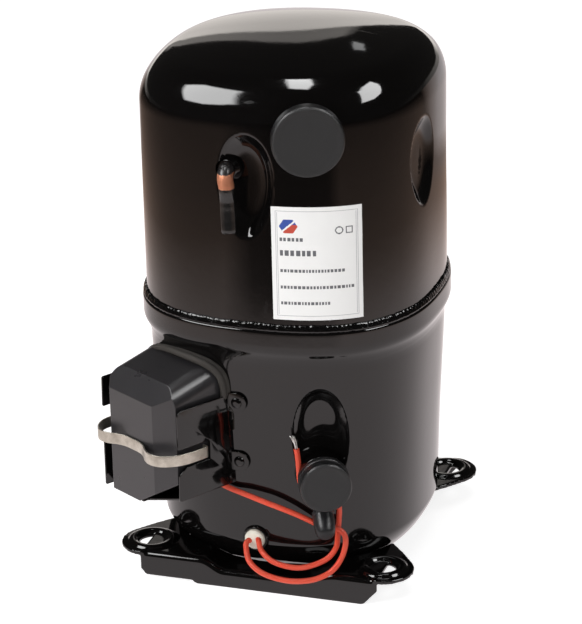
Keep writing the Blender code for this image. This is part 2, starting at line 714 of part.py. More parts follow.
def cover_planes():
    """Trimming planes: two points in (across, out, z) and a direction in the plane."""
    crease = (0, COVER_CREASE, COVER_TOP_Z)
    shellward = 118.0
    planes = [
        # sloped top front
        (crease, (0, COVER_FRONT, 160.5), (1, 0, 0)),
        # top rising towards the shell
        (crease, (0, shellward, COVER_TOP_Z + COVER_RISE * (COVER_CREASE - shellward)),
         (1, 0, 0)),
        # right front facet
        ((15, COVER_FRONT, 100), (COVER_RIGHT, 154.5, 100), (0, 0, 1)),
        # left front edge
        ((COVER_LEFT, 157.0, 100), (-38, COVER_FRONT, 100), (0, 0, 1)),
        # lower right corner
        ((-5, 0, COVER_BOTTOM_Z), (COVER_RIGHT, 0, 99.0), (0, 1, 0)),
    ]

    def on_round(side, edge, deg):
        """Point on the rounded top edge of one side."""
        angle = math.radians(deg)
        return (edge - side * COVER_ROUND_R * (1 - math.cos(angle)), COVER_CREASE,
                COVER_TOP_Z - COVER_ROUND_R * (1 - math.sin(angle)))

    for side, edge in ((1, COVER_RIGHT), (-1, COVER_LEFT)):
        for deg in (0, 30, 60):
            planes.append((on_round(side, edge, deg), on_round(side, edge, deg + 30),
                           (0, -1, COVER_RISE)))
    # lower left corner
    planes.append(((COVER_LEFT, 0, 77.5), (COVER_LEFT + 3, 0, COVER_BOTTOM_Z), (0, 1, 0)))
    return planes


def cover_solid(name, inset, back, mat=None):
    """Convex cover body; inset moves every face but the back inwards."""
    bm = bmesh.new()
    box_between(bm, (COVER_LEFT + inset, back, COVER_BOTTOM_Z + inset),
                (COVER_RIGHT - inset, COVER_FRONT - inset, COVER_TOP_Z + 12.0 - inset))
    centre = Vector(((COVER_LEFT + COVER_RIGHT) / 2, 140.0, COVER_CENTRE_Z))
    for start, end, axis in cover_planes():
        normal = (Vector(end) - Vector(start)).cross(Vector(axis)).normalized()
        middle = (Vector(start) + Vector(end)) * 0.5
        if (middle - centre).dot(normal) < 0:
            normal.negate()
        result = bmesh.ops.bisect_plane(bm, geom=bm.verts[:] + bm.edges[:] + bm.faces[:],
                                        plane_co=(middle - normal * inset) * MM,
                                        plane_no=normal, clear_outer=True, dist=1e-7)
        rim = [item for item in result["geom_cut"] if isinstance(item, bmesh.types.BMEdge)]
        if rim:
            bmesh.ops.contextual_create(bm, geom=rim)
    mesh = mesh_from(name, bm, frame(BOX_ACROSS, BOX_OUT, UP, (0, 0, 0)))
    tidy(mesh)
    return new_object(name, mesh, mat)


def build_terminal_cover():
    cover = cover_solid("terminal_cover", 0.0, COVER_BACK, PLASTIC)
    cut(cover, cover_solid("tool", COVER_WALL, 110.0))
    set_origin(cover, in_box(0, COVER_BACK, COVER_CENTRE_Z))


def band(points, thick):
    """Closed outline of a strip of the given thickness round a centre line."""
    left, right = [], []
    for i, (x, y) in enumerate(points):
        before = Vector(points[max(0, i - 1)])
        after = Vector(points[min(len(points) - 1, i + 1)])
        along = (after - before).normalized()
        normal = Vector((-along.y, along.x)) * thick * 0.5
        left.append((x + normal.x, y + normal.y))
        right.append((x - normal.x, y - normal.y))
    return left + right[::-1]


def build_bail_strap():
    strap = plate("bail_strap", [band(STRAP_LINE, 1.0)], 8.0, box_flat(STRAP_Z), TINNED)
    set_origin(strap, in_box(0, 130.0, STRAP_Z))


# ---------------------------------------------------------------- sealed terminal
PIN_CIRCLE_R = 9.5
PIN_R = 1.6
# (radius, distance out from the shell axis)
TERMINAL_BODY = [(0, 119.5), (18.0, 119.5), (21.6, 116.5), (21.6, 110.0), (18.0, 107.0),
                 (0, 107.0)]


def pin_frames():
    angles = [math.radians(90 + 120 * i) for i in range(3)]
    return [TERMINAL @ shift(PIN_CIRCLE_R * math.cos(a), PIN_CIRCLE_R * math.sin(a), 0)
            for a in angles]


def build_terminal():
    body = lathe("terminal_body", TERMINAL_BODY, 28, STEEL, matrix=TERMINAL)
    block = box("terminal_block", (-17, -14, 123.0), (17, 14, 135.0), TERMINAL, PHENOLIC)
    for i, place in enumerate(pin_frames()):
        drill(body, 2.3, 100, 130, 10, place)
        drill(block, 2.1, 118, 140, 10, place)
        rod("terminal_pin_%d" % (i + 1), PIN_R, 101.0, 137.0, 10, place, COPPER)


# ---------------------------------------------------------------- heater, leads, label
# profiles: (radius, distance out from the mouth of the well)
HEATER_WELL = [(0, -60.5), (8.2, -60.5), (8.2, 6.5), (9.6, 6.5), (9.6, -62), (0, -62)]
HEATER_ELEMENT = [(0, -6), (7.7, -6), (7.7, -58), (0, -58)]
HEATER_SEAL = [(0, 5.0), (6.6, 5.0), (7.8, 3.6), (7.8, -5.5), (0, -5.5)]

LEAD_R = 2.2
# (radius, direction, height) along the two leads from the heater
LEAD_TERMINAL = (
    (110.1, -93.7, 40.0), (114.8, -94.6, 39.4), (118, -94.3, 36.2), (125, -92.0, 29.5),
    (130, -88.2, 24.6), (132, -83.6, 20.9), (134, -77.7, 18.9), (135, -72.4, 19.0),
    (135, -67.5, 20.9), (134, -62.7, 26.0), (132, -59.4, 34.3), (130, -57.6, 44.2),
    (127.5, -57.4, 51.5), (124, -59.0, 55.8), (120, -62.0, 56.8), (117.6, -65.2, 57.0),
    (117.4, -69.6, 62.5), (117.6, -76.8, 70.0), (117.2, -84.9, 76.0), (115.2, -94.1, 80.5),
    (113.6, -101.0, 82.5), (115.6, -106.0, 86.5), (120.0, -110.5, 95.0), (124.0, -113.5, 103.0))
LEAD_BARE = (
    (110.1, -90.7, 41.6), (114.8, -89.6, 41.0), (118, -88.2, 35.5), (123, -84.2, 30.6),
    (126, -79.3, 27.9), (127.6, -73.7, 26.9), (127.6, -68.5, 29.1), (127, -63.5, 33.8),
    (125, -60.4, 41.0), (120.5, -59.2, 47.5), (116.6, -58.4, 54.0), (115.6, -58.0, 61.0),
    (116.2, -57.9, 69.0), (117.4, -58.8, 77.0), (117.8, -63.2, 83.2), (117.8, -69.0, 86.2),
    (118.4, -72.4, 94.0), (118.8, -73.0, 104.0), (118.4, -73.3, 115.0), (119, -74.1, 127.2),
    (119.5, -75.1, 134.7))

LABEL_PHI, LABEL_SPAN = -64.9, 32.8       # centre and width, both in degrees
LABEL_Z, LABEL_HEIGHT = 274.6, 90.4
LABEL_OFFSET, LABEL_THICK = 0.55, 0.4     # mid-surface off the shell, thickness


def catmull(points, per=2):
    """Catmull-Rom curve through the points, with per steps between neighbours."""
    out = []
    last = len(points) - 1
    for i in range(last):
        before, start = points[max(0, i - 1)], points[i]
        end, after = points[i + 1], points[min(last, i + 2)]
        for k in range(per):
            t = k / per
            out.append(0.5 * ((2 * start) + (end - before) * t
                              + (2 * before - 5 * start + 4 * end - after) * t * t
                              + (3 * start - before - 3 * end + after) * t * t * t))
    out.append(points[-1])
    return out


def build_heater():
    place = radial(HEATER_PHI, HEATER_R, HEATER_Z)
    lathe("heater_well", HEATER_WELL, 18, STEEL, matrix=place)
    lathe("heater_element", HEATER_ELEMENT, 14, STEEL, matrix=place)
    lathe("heater_seal", HEATER_SEAL, 18, CREAM, matrix=place)


def build_leads():
    for name, stations in (("lead_terminal", LEAD_TERMINAL), ("lead_bare_end", LEAD_BARE)):
        wire(name, catmull([polar(*station) for station in stations]), LEAD_R, SILICONE, 1)


def build_nameplate():
    """Thin plate that follows the shell's plan."""
    bm = bmesh.new()
    bmesh.ops.create_cube(bm, size=1.0)
    lengthwise = [e for e in bm.edges if abs((e.verts[0].co - e.verts[1].co).x) > 0.5]
    bmesh.ops.subdivide_edges(bm, edges=lengthwise, cuts=7, use_grid_fill=True)
    for vert in bm.verts:
        deg = LABEL_PHI + vert.co.x * LABEL_SPAN
        radius = UPPER_R * plan(math.radians(deg)) + LABEL_OFFSET + vert.co.y * LABEL_THICK
        vert.co = polar(radius, deg, LABEL_Z + vert.co.z * LABEL_HEIGHT)
    mesh = mesh_from("nameplate", bm)
    tidy(mesh)
    new_object("nameplate", mesh, LABEL)


# ---------------------------------------------------------------- scroll set
WRAP_PITCH = 19.0
WRAP_T = 4.1              # wrap thickness
WRAP_BASE_R = WRAP_PITCH / (2 * math.pi)      # base circle of the involute
WRAP_FROM = 2.8           # involute angle at the inner end, radians
WRAP_TURNS = 2.5
WRAP_STEPS = 60           # one every 15 degrees
ORBITING_Z = 240.0        # top of the orbiting base plate
FIXED_Z = 280.5           # underside of the fixed base plate
FIXED_TOP_Z = 294.0
SEAT_Z = 294.4            # underside of what stands on the fixed scroll
CRANK_PIN = shift(0, ORBIT, 0)    # at rest the crank pin is towards +Y

KEY_R = 63.0              # centre of the Oldham ring's keys
KEY_HALF_WIDTH, KEY_HALF_LENGTH = 5.0, 6.0
SLOT_HALF_WIDTH, SLOT_HALF_LENGTH = 5.4, 6.6      # before the orbit is added
SCROLL_BOLT_R = 86.5      # place of the scroll bolts
STATOR_BOLT_R = 89.0      # place of the stator bolts
BOLT_HOLE_R = 3.4

# profiles: (radius, z)
ORBITING_BODY = [(0, ORBITING_Z), (72.0, ORBITING_Z), (74.0, ORBITING_Z - 1.5), (74.0, 231.6),
                 (20.0, 231.6), (20.0, 212.0), (14.6, 212.0), (14.6, 229.0), (0, 229.0)]
FIXED_BODY = [(5.5, FIXED_TOP_Z), (90.5, FIXED_TOP_Z), (92.0, 292.5), (92.0, 240.6),
              (81.5, 240.6), (79.5, 243.0), (68.5, 243.0), (68.5, FIXED_Z), (5.5, FIXED_Z)]
SCROLL_BOLT = [(0, 299.4), (4.9, 299.4), (5.3, 298.9), (5.3, 294.3), (3.0, 294.3),
               (3.0, 224.0), (0, 224.0)]
FRAME_BODY = [(21.2, 209.0), (34.5, 209.0), (34.5, 226.2), (81.0, 226.2), (81.0, 240.2),
              (92.0, 240.2), (92.0, 216.0), (86.0, 209.5), (70.0, 207.4), (36.5, 207.0),
              (35.0, 192.0), (33.0, 190.0), (21.2, 190.0)]
VALVE = [(0, 295.7), (8.4, 295.7), (9.0, 295.2), (9.0, SEAT_Z), (0, SEAT_Z)]
VALVE_RETAINER = [(3.5, 301.5), (15.0, 301.5), (15.0, SEAT_Z), (10.8, SEAT_Z), (10.8, 298.9),
                  (3.5, 298.9)]
MUFFLER = [(0, 334.0), (22.0, 333.0), (36.0, 326.0), (41.0, 314.0), (41.0, 296.8),
           (43.0, 296.8), (43.0, SEAT_Z), (39.2, SEAT_Z), (39.2, 313.6), (34.6, 324.6),
           (21.6, 331.0), (0, 332.0)]
SUCTION_BEND = ((84.0, SUCTION_Z), (72.0, 371.5), (62.5, 364.0), (57.0, 354.0),
                (SUCTION_DROP_R, 342.0))


def wrap_outline():
    """Involute strip: its outer side, then its inner side back to the start."""
    half = WRAP_T / (2 * WRAP_BASE_R)
    outer, inner = [], []
    for i in range(WRAP_STEPS + 1):
        angle = WRAP_FROM + WRAP_TURNS * 2 * math.pi * i / WRAP_STEPS
        cos, sin = math.cos(angle), math.sin(angle)
        for unrolled, points in ((angle + half, outer), (angle - half, inner)):
            points.append((WRAP_BASE_R * (cos + unrolled * sin),
                           WRAP_BASE_R * (sin - unrolled * cos)))
    return outer + inner[::-1]


def block_tool(centre_x, centre_y, half_x, half_y, bottom, top):
    return box("tool", (centre_x - half_x, centre_y - half_y, bottom),
               (centre_x + half_x, centre_y + half_y, top))


def build_orbiting_scroll():
    """Orbiting scroll with the hub below, its origin on the crank pin."""
    scroll = lathe("orbiting_scroll", ORBITING_BODY, 28, ALLOY)
    height = 41.0
    join(scroll, plate("tool", [wrap_outline()], height, flat(ORBITING_Z - 0.8 + height / 2)))
    for side in (-1, 1):
        # slots for the ring's upper keys, along Y, widened by the orbit
        cut(scroll, block_tool(0, side * KEY_R, SLOT_HALF_WIDTH + ORBIT,
                               SLOT_HALF_LENGTH + ORBIT, 230.0, 236.2))
    scroll.matrix_world = CRANK_PIN


def build_fixed_scroll():
    scroll = lathe("fixed_scroll", FIXED_BODY, 28, IRON, closed=True)
    height = 41.2
    join(scroll, plate("tool", [rotated(wrap_outline(), 180)], height,
                       flat(FIXED_Z + 1.0 - height / 2)))
    drill(scroll, 9.7, 270, 300, 18, upright(SUCTION_DROP_R, SUCTION_PHI))
    for i, deg in enumerate(quarters(45)):
        place = upright(SCROLL_BOLT_R, deg)
        drill(scroll, BOLT_HOLE_R, 230, 300, 12, place)
        lathe("scroll_bolt_%d" % (i + 1), SCROLL_BOLT, 10, STEEL, matrix=place)


def build_oldham_ring():
    """Lower keys along X ride in the frame, upper keys along Y ride in the scroll."""
    oldham = ring("oldham_ring", 56.0, 70.0, 230.6, 226.6, 28, ALLOY)
    for side in (-1, 1):
        join(oldham, block_tool(side * KEY_R, 0, KEY_HALF_LENGTH, KEY_HALF_WIDTH, 221.4, 228.0))
        join(oldham, block_tool(0, side * KEY_R, KEY_HALF_WIDTH, KEY_HALF_LENGTH, 229.0, 235.6))


def build_main_frame():
    """Flange on the shell's ledge, body, recess and hub."""
    main = ring("main_frame", 60.0, UPPER_R - 0.2, 213.6, LEDGE_Z + 0.4, SHELL_SEGS, IRON,
                shape=plan_only)
    join(main, lathe("tool", FRAME_BODY, 28, closed=True))
    for deg in quarters(45):
        drill(main, 6.5, 200, 220, 14, upright(106.0, deg))
        drill(main, BOLT_HOLE_R, 223.6, 250, 12, upright(SCROLL_BOLT_R, deg))
        drill(main, BOLT_HOLE_R, 196, 216.5, 12, upright(STATOR_BOLT_R, deg - 45))
    for side in (-1, 1):
        # slots for the ring's lower keys, along X, lengthened by the orbit
        cut(main, block_tool(side * KEY_R, 0, SLOT_HALF_LENGTH + ORBIT, SLOT_HALF_WIDTH,
                             220.8, 230.0))


def build_upper_bearings():
    ring("thrust_plate", 36.0, 49.5, 231.3, 226.5, 28, BRONZE)
    ring("main_bearing", 16.0, 20.8, 208.6, 190.6, 22, BRONZE)


def build_discharge_valve():
    """Discharge valve, its cage, and a muffler over them."""
    valve = lathe("discharge_valve", VALVE, 20, STEEL)
    set_origin(valve, (0, 0, SEAT_Z * MM))
    lathe("valve_retainer", VALVE_RETAINER, 24, STEEL, closed=True)
    muffler = lathe("discharge_muffler", MUFFLER, 20, STEEL)
    for deg in (100, 220, 340):
        drill(muffler, 5.0, 20, 60, 12, radial(deg, 0.0, 306.0))


def build_suction_tube():
    """Tube from the suction stub down to the fixed scroll."""
    def path(start_r, end_z):
        stations = ((start_r, SUCTION_Z), *SUCTION_BEND, (SUCTION_DROP_R, end_z))
        return [polar(radius, SUCTION_PHI, z) for radius, z in stations]

    tube = wire("suction_tube", path(105.4, 283.5), 9.1, COPPER)
    cut(tube, wire("tool", path(112.0, 270.0), 7.6))     # the bore runs past both ends


# ---------------------------------------------------------------- drive
STACK_BOTTOM, STACK_TOP = 84.0, 176.0     # rotor and stator laminations
STACK_MID = (STACK_BOTTOM + STACK_TOP) / 2
STATOR_R = 95.0
BORE_R = 55.7             # stator bore
SLOTS = 12
# lower journal, rotor seat and main journal: (radius, z)
SHAFT = [(0, 207.6), (14.8, 207.6), (15.6, 206.8), (15.6, 70.5), (12.0, 68.5), (12.0, 46.0),
         (11.0, 45.0), (0, 45.0)]
ECCENTRIC = [(0, 228.0), (8.0, 228.0), (8.8, 227.2), (8.8, 205.0), (0, 205.0)]
PICKUP = [(3.0, 54.0), (6.5, 54.0), (6.5, 40.0), (9.5, 38.0), (9.5, 24.0), (4.0, 21.0),
          (2.6, 21.0), (2.6, 23.0), (3.0, 26.0)]
# one stator slot and the winding in it: (radial, tangential)
SLOT = [(BORE_R, -1.6), (60.0, -1.6), (62.0, -7.0), (79.0, -9.5), (79.0, 9.5), (62.0, 7.0),
        (60.0, 1.6), (BORE_R, 1.6)]
SLOT_WINDING = [(62.6, -6.4), (78.4, -8.7), (78.4, 8.7), (62.6, 6.4)]
UPPER_WINDING = [(60.0, 193.0), (66.0, 197.0), (78.5, 197.0), (82.5, 190.0), (81.5, 176.6),
                 (61.0, 176.6)]
LOWER_WINDING = [(61.0, 83.4), (81.5, 83.4), (82.5, 72.0), (78.5, 67.0), (66.0, 67.0),
                 (60.0, 71.0)]
STATOR_BOLT = [(0, 215.5), (2.9, 215.5), (2.9, 83.6), (5.2, 83.6), (5.2, 78.6), (0, 78.6)]
LOWER_FRAME = [(20.2, 66.0), (27.0, 66.0), (29.0, 58.0), (96.0, 58.0), (99.0, 60.5),
               (99.0, 53.0), (29.0, 50.0), (20.2, 50.0)]
# motor leads: (radius, turn from the terminal's direction, height)
MOTOR_LEADS = ((74.0, -4, 199.6), (82.0, -3, 203.0), (93.5, -2, 198.0), (99.3, -1, 186.0),
               (100.0, 0, 160.0), (99.8, 0, 136.5))


def build_crankshaft():
    shaft = lathe("crankshaft", SHAFT, 22, STEEL)
    join(shaft, lathe("tool", ECCENTRIC, 18, matrix=CRANK_PIN))
    drill(shaft, 6.9, 40.0, 56.0, 16)                        # socket in the lower end
    drill(shaft, 2.6, 50.0, 235.0, 10, shift(0, 4.0, 0))     # passage up to the pin
    ring("drive_bush", 9.1, 14.2, 226.0, 212.4, 20, BRONZE, matrix=CRANK_PIN)
    lathe("oil_pickup", PICKUP, 14, STEEL, closed=True)


def counterweight(name, bottom, top, start, end):
    """Sector between two directions on a full collar."""
    sector = circle(49.0, 13, start=start, end=end) + circle(23.0, 7, start=end, end=start)
    weight = plate(name, [sector], top - bottom, flat((bottom + top) / 2), BRONZE)
    join(weight, ring("tool", 16.0, 24.5, top, bottom, 20))


def build_rotor():
    ring("rotor", 16.0, 54.5, STACK_TOP, STACK_BOTTOM, 28, LAMINATE)
    counterweight("upper_counterweight", 176.5, 187.5, 190, 350)
    counterweight("lower_counterweight", 71.5, 83.5, 10, 170)


def build_stator_core():
    """Core with its slots open to the bore, and its four bolts."""
    bore = []
    for i in range(SLOTS):
        deg = 360.0 * i / SLOTS
        bore += rotated(SLOT, deg)
        bore += rotated([(BORE_R, 0)], deg + 10) + rotated([(BORE_R, 0)], deg + 20)
    core = plate("stator_core", [circle(STATOR_R, 36), bore], STACK_TOP - STACK_BOTTOM,
                 flat(STACK_MID), LAMINATE)
    for i, deg in enumerate(quarters(0)):
        place = upright(STATOR_BOLT_R, deg)
        drill(core, 3.3, 80, 180, 10, place)
        lathe("stator_bolt_%d" % (i + 1), STATOR_BOLT, 10, STEEL, matrix=place)


def build_stator_windings():
    """End turns above and below, joined by a bar through each slot."""
    windings = lathe("stator_windings", UPPER_WINDING, 24, WINDING, closed=True)
    join(windings, lathe("tool", LOWER_WINDING, 24, closed=True))
    for i in range(SLOTS):
        bar = rotated(SLOT_WINDING, 360.0 * i / SLOTS)
        join(windings, plate("tool", [bar], 98.0, flat(STACK_MID)))


def build_lower_bearing():
    bearing_frame = lathe("lower_bearing_frame", LOWER_FRAME, 24, IRON, closed=True)
    for deg in quarters(45):
        drill(bearing_frame, 24.0, 40, 70, 12, upright(62.0, deg))
    ring("lower_bearing", 12.4, 19.8, 65.6, 50.4, 24, BRONZE)


def build_motor_leads():
    """One bundle from the winding to the inside of the terminal."""
    end = TERMINAL @ Vector((0, 0, 99.5 * MM))
    deg = math.degrees(math.atan2(end.y, end.x))
    points = [polar(radius, deg + turn, z) for radius, turn, z in MOTOR_LEADS]
    wire("motor_leads", catmull(points), 2.4, SILICONE, 1)


# ---------------------------------------------------------------- assembly
build_upper_shell()
build_lower_shell()
build_girth_weld()
build_suction_stub()
build_discharge_stub()
build_service_stub()
build_process_tube()
build_rail("front_rail", -1)
build_rail("rear_rail", 1)
build_fence()
build_fence_rivets()
build_terminal_seal()
build_terminal_cover()
build_bail_strap()
build_terminal()
build_heater()
build_leads()
build_nameplate()
build_orbiting_scroll()
build_fixed_scroll()
build_oldham_ring()
build_main_frame()
build_upper_bearings()
build_discharge_valve()
build_suction_tube()
build_crankshaft()
build_rotor()
build_stator_core()
build_stator_windings()
build_lower_bearing()
build_motor_leads()

for part in PARTS.objects:
    part.data.shade_smooth()
    part.data.set_sharp_from_angle(angle=math.radians(35.0))
bpy.data.collections.remove(TOOLS)
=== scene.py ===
"""Looks of the hermetic compressor: fine meshes, procedural materials, studio.

Lengths are worked out in millimetres and scaled by MM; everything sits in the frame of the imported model.
"""
import json
import math
import random

import bmesh
import bpy
import numpy as np
from mathutils import Matrix, Vector, noise

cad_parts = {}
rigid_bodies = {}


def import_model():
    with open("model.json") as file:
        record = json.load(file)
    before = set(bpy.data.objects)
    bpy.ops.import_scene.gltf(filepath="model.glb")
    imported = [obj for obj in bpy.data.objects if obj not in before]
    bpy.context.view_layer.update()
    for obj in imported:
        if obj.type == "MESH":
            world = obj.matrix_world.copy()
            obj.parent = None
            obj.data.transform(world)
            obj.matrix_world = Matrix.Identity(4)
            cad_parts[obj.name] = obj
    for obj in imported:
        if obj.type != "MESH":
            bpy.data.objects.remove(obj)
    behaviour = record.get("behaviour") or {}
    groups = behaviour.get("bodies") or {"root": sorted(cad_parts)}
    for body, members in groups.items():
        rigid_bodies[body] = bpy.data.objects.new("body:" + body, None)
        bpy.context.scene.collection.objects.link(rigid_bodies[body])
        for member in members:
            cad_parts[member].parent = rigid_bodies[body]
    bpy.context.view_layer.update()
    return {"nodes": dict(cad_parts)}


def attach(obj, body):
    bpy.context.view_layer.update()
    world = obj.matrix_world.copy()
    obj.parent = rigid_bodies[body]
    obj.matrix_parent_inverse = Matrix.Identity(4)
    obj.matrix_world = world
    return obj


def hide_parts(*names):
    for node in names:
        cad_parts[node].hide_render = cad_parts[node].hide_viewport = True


for _o in list(bpy.data.objects):
    bpy.data.objects.remove(_o, do_unlink=True)

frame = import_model()
MM = 0.001
COL = bpy.context.scene.collection

# ------------------------------------------------------------------ design values (mm)
PLAN = 0.036
R_UP, WALL, Z_UP_BOTTOM, Z_UP_TOP = 118.7, 4.5, 214.0, 378.8
R_CORNER, R_CROWN, HEIGHT = 36.5, 390.0, 425.0
CROWN_LEAN, LEAN_DIR = 0.023, math.radians(18.0)
R_BELL_IN, R_BELL_OUT, Z_STEP, Z_RIM = 119.1, 121.9, 207.0, 219.5
R_LOW_TOP, R_LOW_KNEE, Z_KNEE = 117.2, 110.0, 37.5
KNEE_RX, KNEE_RZ, KNEE_E = 41.8, 37.5, 1.35
EAR_Z, HOLE_PITCH, EAR_HOLE_R, RAIL_T, RAIL_Y = 22.0, 190.5, 10.0, 3.0, 119.0
SUCTION_PHI, SUCTION_Z = -67.5, 374.5
DISCHARGE_PHI, DISCHARGE_Z = -64.5, 100.0
SERVICE_PHI = -64.6
HEATER_PHI, HEATER_Z = -92.3, 40.2
PROCESS_PHI, PROCESS_Z = -98.6, 345.0
BOX_PHI = -121.5
TERM_T, TERM_Z = -8.0, 122.0


# ------------------------------------------------------------------ geometry helpers
def plan(phi):
    return 1.0 - PLAN * math.cos(4.0 * phi)


def polar(r, deg, z):
    a = math.radians(deg)
    return Vector((r * math.cos(a), r * math.sin(a), z)) * MM


def surface_normal_deg(phi):
    a = math.radians(phi)
    return phi - math.degrees(math.atan(4.0 * PLAN * math.sin(4.0 * a) / plan(a)))


def low_radius(z):
    if z >= Z_KNEE:
        return R_LOW_KNEE + (R_LOW_TOP - R_LOW_KNEE) * (z - Z_KNEE) / (205.0 - Z_KNEE)
    s = max(0.0, min(1.0, (Z_KNEE - z) / KNEE_RZ))
    return R_LOW_KNEE - KNEE_RX + KNEE_RX * (1.0 - s ** (2.0 / KNEE_E)) ** (KNEE_E / 2.0)


def radial(phi, r, z, tilt=0.0):
    """Frame on the shell: local Z out along phi (tilted down by tilt), local Y up."""
    a, t = math.radians(phi), math.radians(tilt)
    out = Vector((math.cos(a) * math.cos(t), math.sin(a) * math.cos(t), -math.sin(t)))
    side = Vector((-math.sin(a), math.cos(a), 0.0))
    up = out.cross(side)
    m = Matrix((side, up, out)).transposed().to_4x4()
    m.translation = polar(r, phi, z)
    return m


def service_frame(r):
    return radial(SERVICE_PHI, r, 75.0 - (r - 113.0) * 0.75, 36.9)


_b = math.radians(BOX_PHI)
BOX_N = Vector((math.cos(_b), math.sin(_b), 0.0))
BOX_TV = Vector((-math.sin(_b), math.cos(_b), 0.0))


def box_front(n):
    m = Matrix((BOX_TV, Vector((0, 0, 1)), BOX_N)).transposed().to_4x4()
    m.translation = BOX_N * n * MM
    return m


def box_side(t):
    m = Matrix((BOX_N, Vector((0, 0, 1)), -BOX_TV)).transposed().to_4x4()
    m.translation = BOX_TV * t * MM
    return m


def box_flat(z):
    m = Matrix((BOX_TV, BOX_N, Vector((0, 0, -1)))).transposed().to_4x4()
    m.translation = Vector((0, 0, z * MM))
    return m


def box_point(t, n, z):
    return (BOX_TV * t + BOX_N * n + Vector((0, 0, z))) * MM


def smoothstep(a, b, x):
    t = max(0.0, min(1.0, (x - a) / (b - a)))
    return t * t * (3.0 - 2.0 * t)


def catmull(points, per=6):
    out = []
    for i in range(len(points) - 1):
        p0, p1, p2 = points[max(0, i - 1)], points[i], points[i + 1]
        p3 = points[min(len(points) - 1, i + 2)]
        for k in range(per):
            t = k / per
            out.append(0.5 * ((2 * p1) + (p2 - p0) * t + (2 * p0 - 5 * p1 + 4 * p2 - p3) * t * t
                              + (3 * p1 - p0 - 3 * p2 + p3) * t * t * t))
    out.append(points[-1])
    return out


def rounded(profile, radii, steps=5):
    """Round the corners of an open (r, z) polyline; radii is one value or a dict by index."""
    out = [profile[0]]
    for i in range(1, len(profile) - 1):
        rad = radii.get(i, 0.0) if isinstance(radii, dict) else radii
        p, a, b = Vector(profile[i]), Vector(profile[i - 1]), Vector(profile[i + 1])
        da, db = (a - p), (b - p)
        la, lb = da.length, db.length
        if rad <= 0 or la < 1e-9 or lb < 1e-9:
            out.append(profile[i])
            continue
        d = min(rad, la * 0.45, lb * 0.45)
        s, e = p + da / la * d, p + db / lb * d
        for k in range(steps + 1):
            t = k / steps
            q = s * (1 - t) ** 2 + p * 2 * t * (1 - t) + e * t * t
            out.append((q.x, q.y))
    out.append(profile[-1])
    return out


def dense(profile, step):
    """Split long pieces of a profile so that no segment is longer than step."""
    out = [profile[0]]
    for a, b in zip(profile, profile[1:]):
        n = max(1, int(math.ceil(math.hypot(b[0] - a[0], b[1] - a[1]) / step)))
        for k in range(1, n + 1):
            out.append((a[0] + (b[0] - a[0]) * k / n, a[1] + (b[1] - a[1]) * k / n))
    return out


def link(name, me, mat=None, sharp=32.0):
    o = bpy.data.objects.new(name, me)
    COL.objects.link(o)
    if mat is not None:
        me.materials.clear()
        me.materials.append(mat)
    me.shade_smooth()
    if sharp is not None:
        me.set_sharp_from_angle(angle=math.radians(sharp))
    return o


def fix_normals(me, weld=0.000002):
    bm = bmesh.new()
    bm.from_mesh(me)
    bmesh.ops.remove_doubles(bm, verts=bm.verts, dist=weld)
    bmesh.ops.recalc_face_normals(bm, faces=bm.faces)
    bm.to_mesh(me)
    bm.free()


def turned(name, profile, n=48, mat=None, shape=None, matrix=None, closed=False, sharp=32.0):
    """Turn a profile of (r, z) mm about local Z on a fine grid; points on the axis become poles."""
    verts, rows = [], []
    for r, z in profile:
        if r < 1e-6:
            rows.append([len(verts)])
            p = (0.0, 0.0, z) if shape is None else shape(0.0, 0.0, z)
            verts.append(Vector(p) * MM)
            continue
        row = []
        for j in range(n):
            phi = 2 * math.pi * j / n
            p = (r * math.cos(phi), r * math.sin(phi), z) if shape is None else shape(r, phi, z)
            row.append(len(verts))
            verts.append(Vector(p) * MM)
        rows.append(row)
    if closed:
        rows.append(rows[0])
    faces = []
    for a, b in zip(rows, rows[1:]):
        if len(a) == 1 and len(b) == 1:
            continue
        for j in range(n):
            k = (j + 1) % n
            if len(a) == 1:
                faces.append((a[0], b[j], b[k]))
            elif len(b) == 1:
                faces.append((a[j], b[0], a[k]))
            else:
                faces.append((a[j], b[j], b[k], a[k]))
    if matrix is not None:
        verts = [matrix @ v for v in verts]
    me = bpy.data.meshes.new(name)
    me.from_pydata([tuple(v) for v in verts], [], faces)
    fix_normals(me)
    return link(name, me, mat, sharp)


def take(obj):
    """Evaluated mesh of obj in world space; obj is removed."""
    bpy.context.view_layer.update()
    dg = bpy.context.evaluated_depsgraph_get()
    me = bpy.data.meshes.new_from_object(obj.evaluated_get(dg))
    me.transform(obj.matrix_world)
    bpy.data.objects.remove(obj, do_unlink=True)
    return me


def plate(name, outlines, thick, matrix=None, mat=None, bevel=0.0):
    cu = bpy.data.curves.new(name, "CURVE")
    cu.dimensions = "2D"
    cu.fill_mode = "BOTH"
    cu.extrude = max(0.0001, thick * 0.5 - bevel) * MM
    cu.bevel_depth = bevel * MM
    cu.bevel_resolution = 2
    cu.offset = -bevel * MM
    for pts in outlines:
        sp = cu.splines.new("POLY")
        sp.points.add(len(pts) - 1)
        for p, (x, y) in zip(sp.points, pts):
            p.co = (x * MM, y * MM, 0.0, 1.0)
        sp.use_cyclic_u = True
    tmp = bpy.data.objects.new(name + "_t", cu)
    COL.objects.link(tmp)
    if matrix is not None:
        tmp.matrix_world = matrix
    me = take(tmp)
    fix_normals(me)
    return link(name, me, mat)


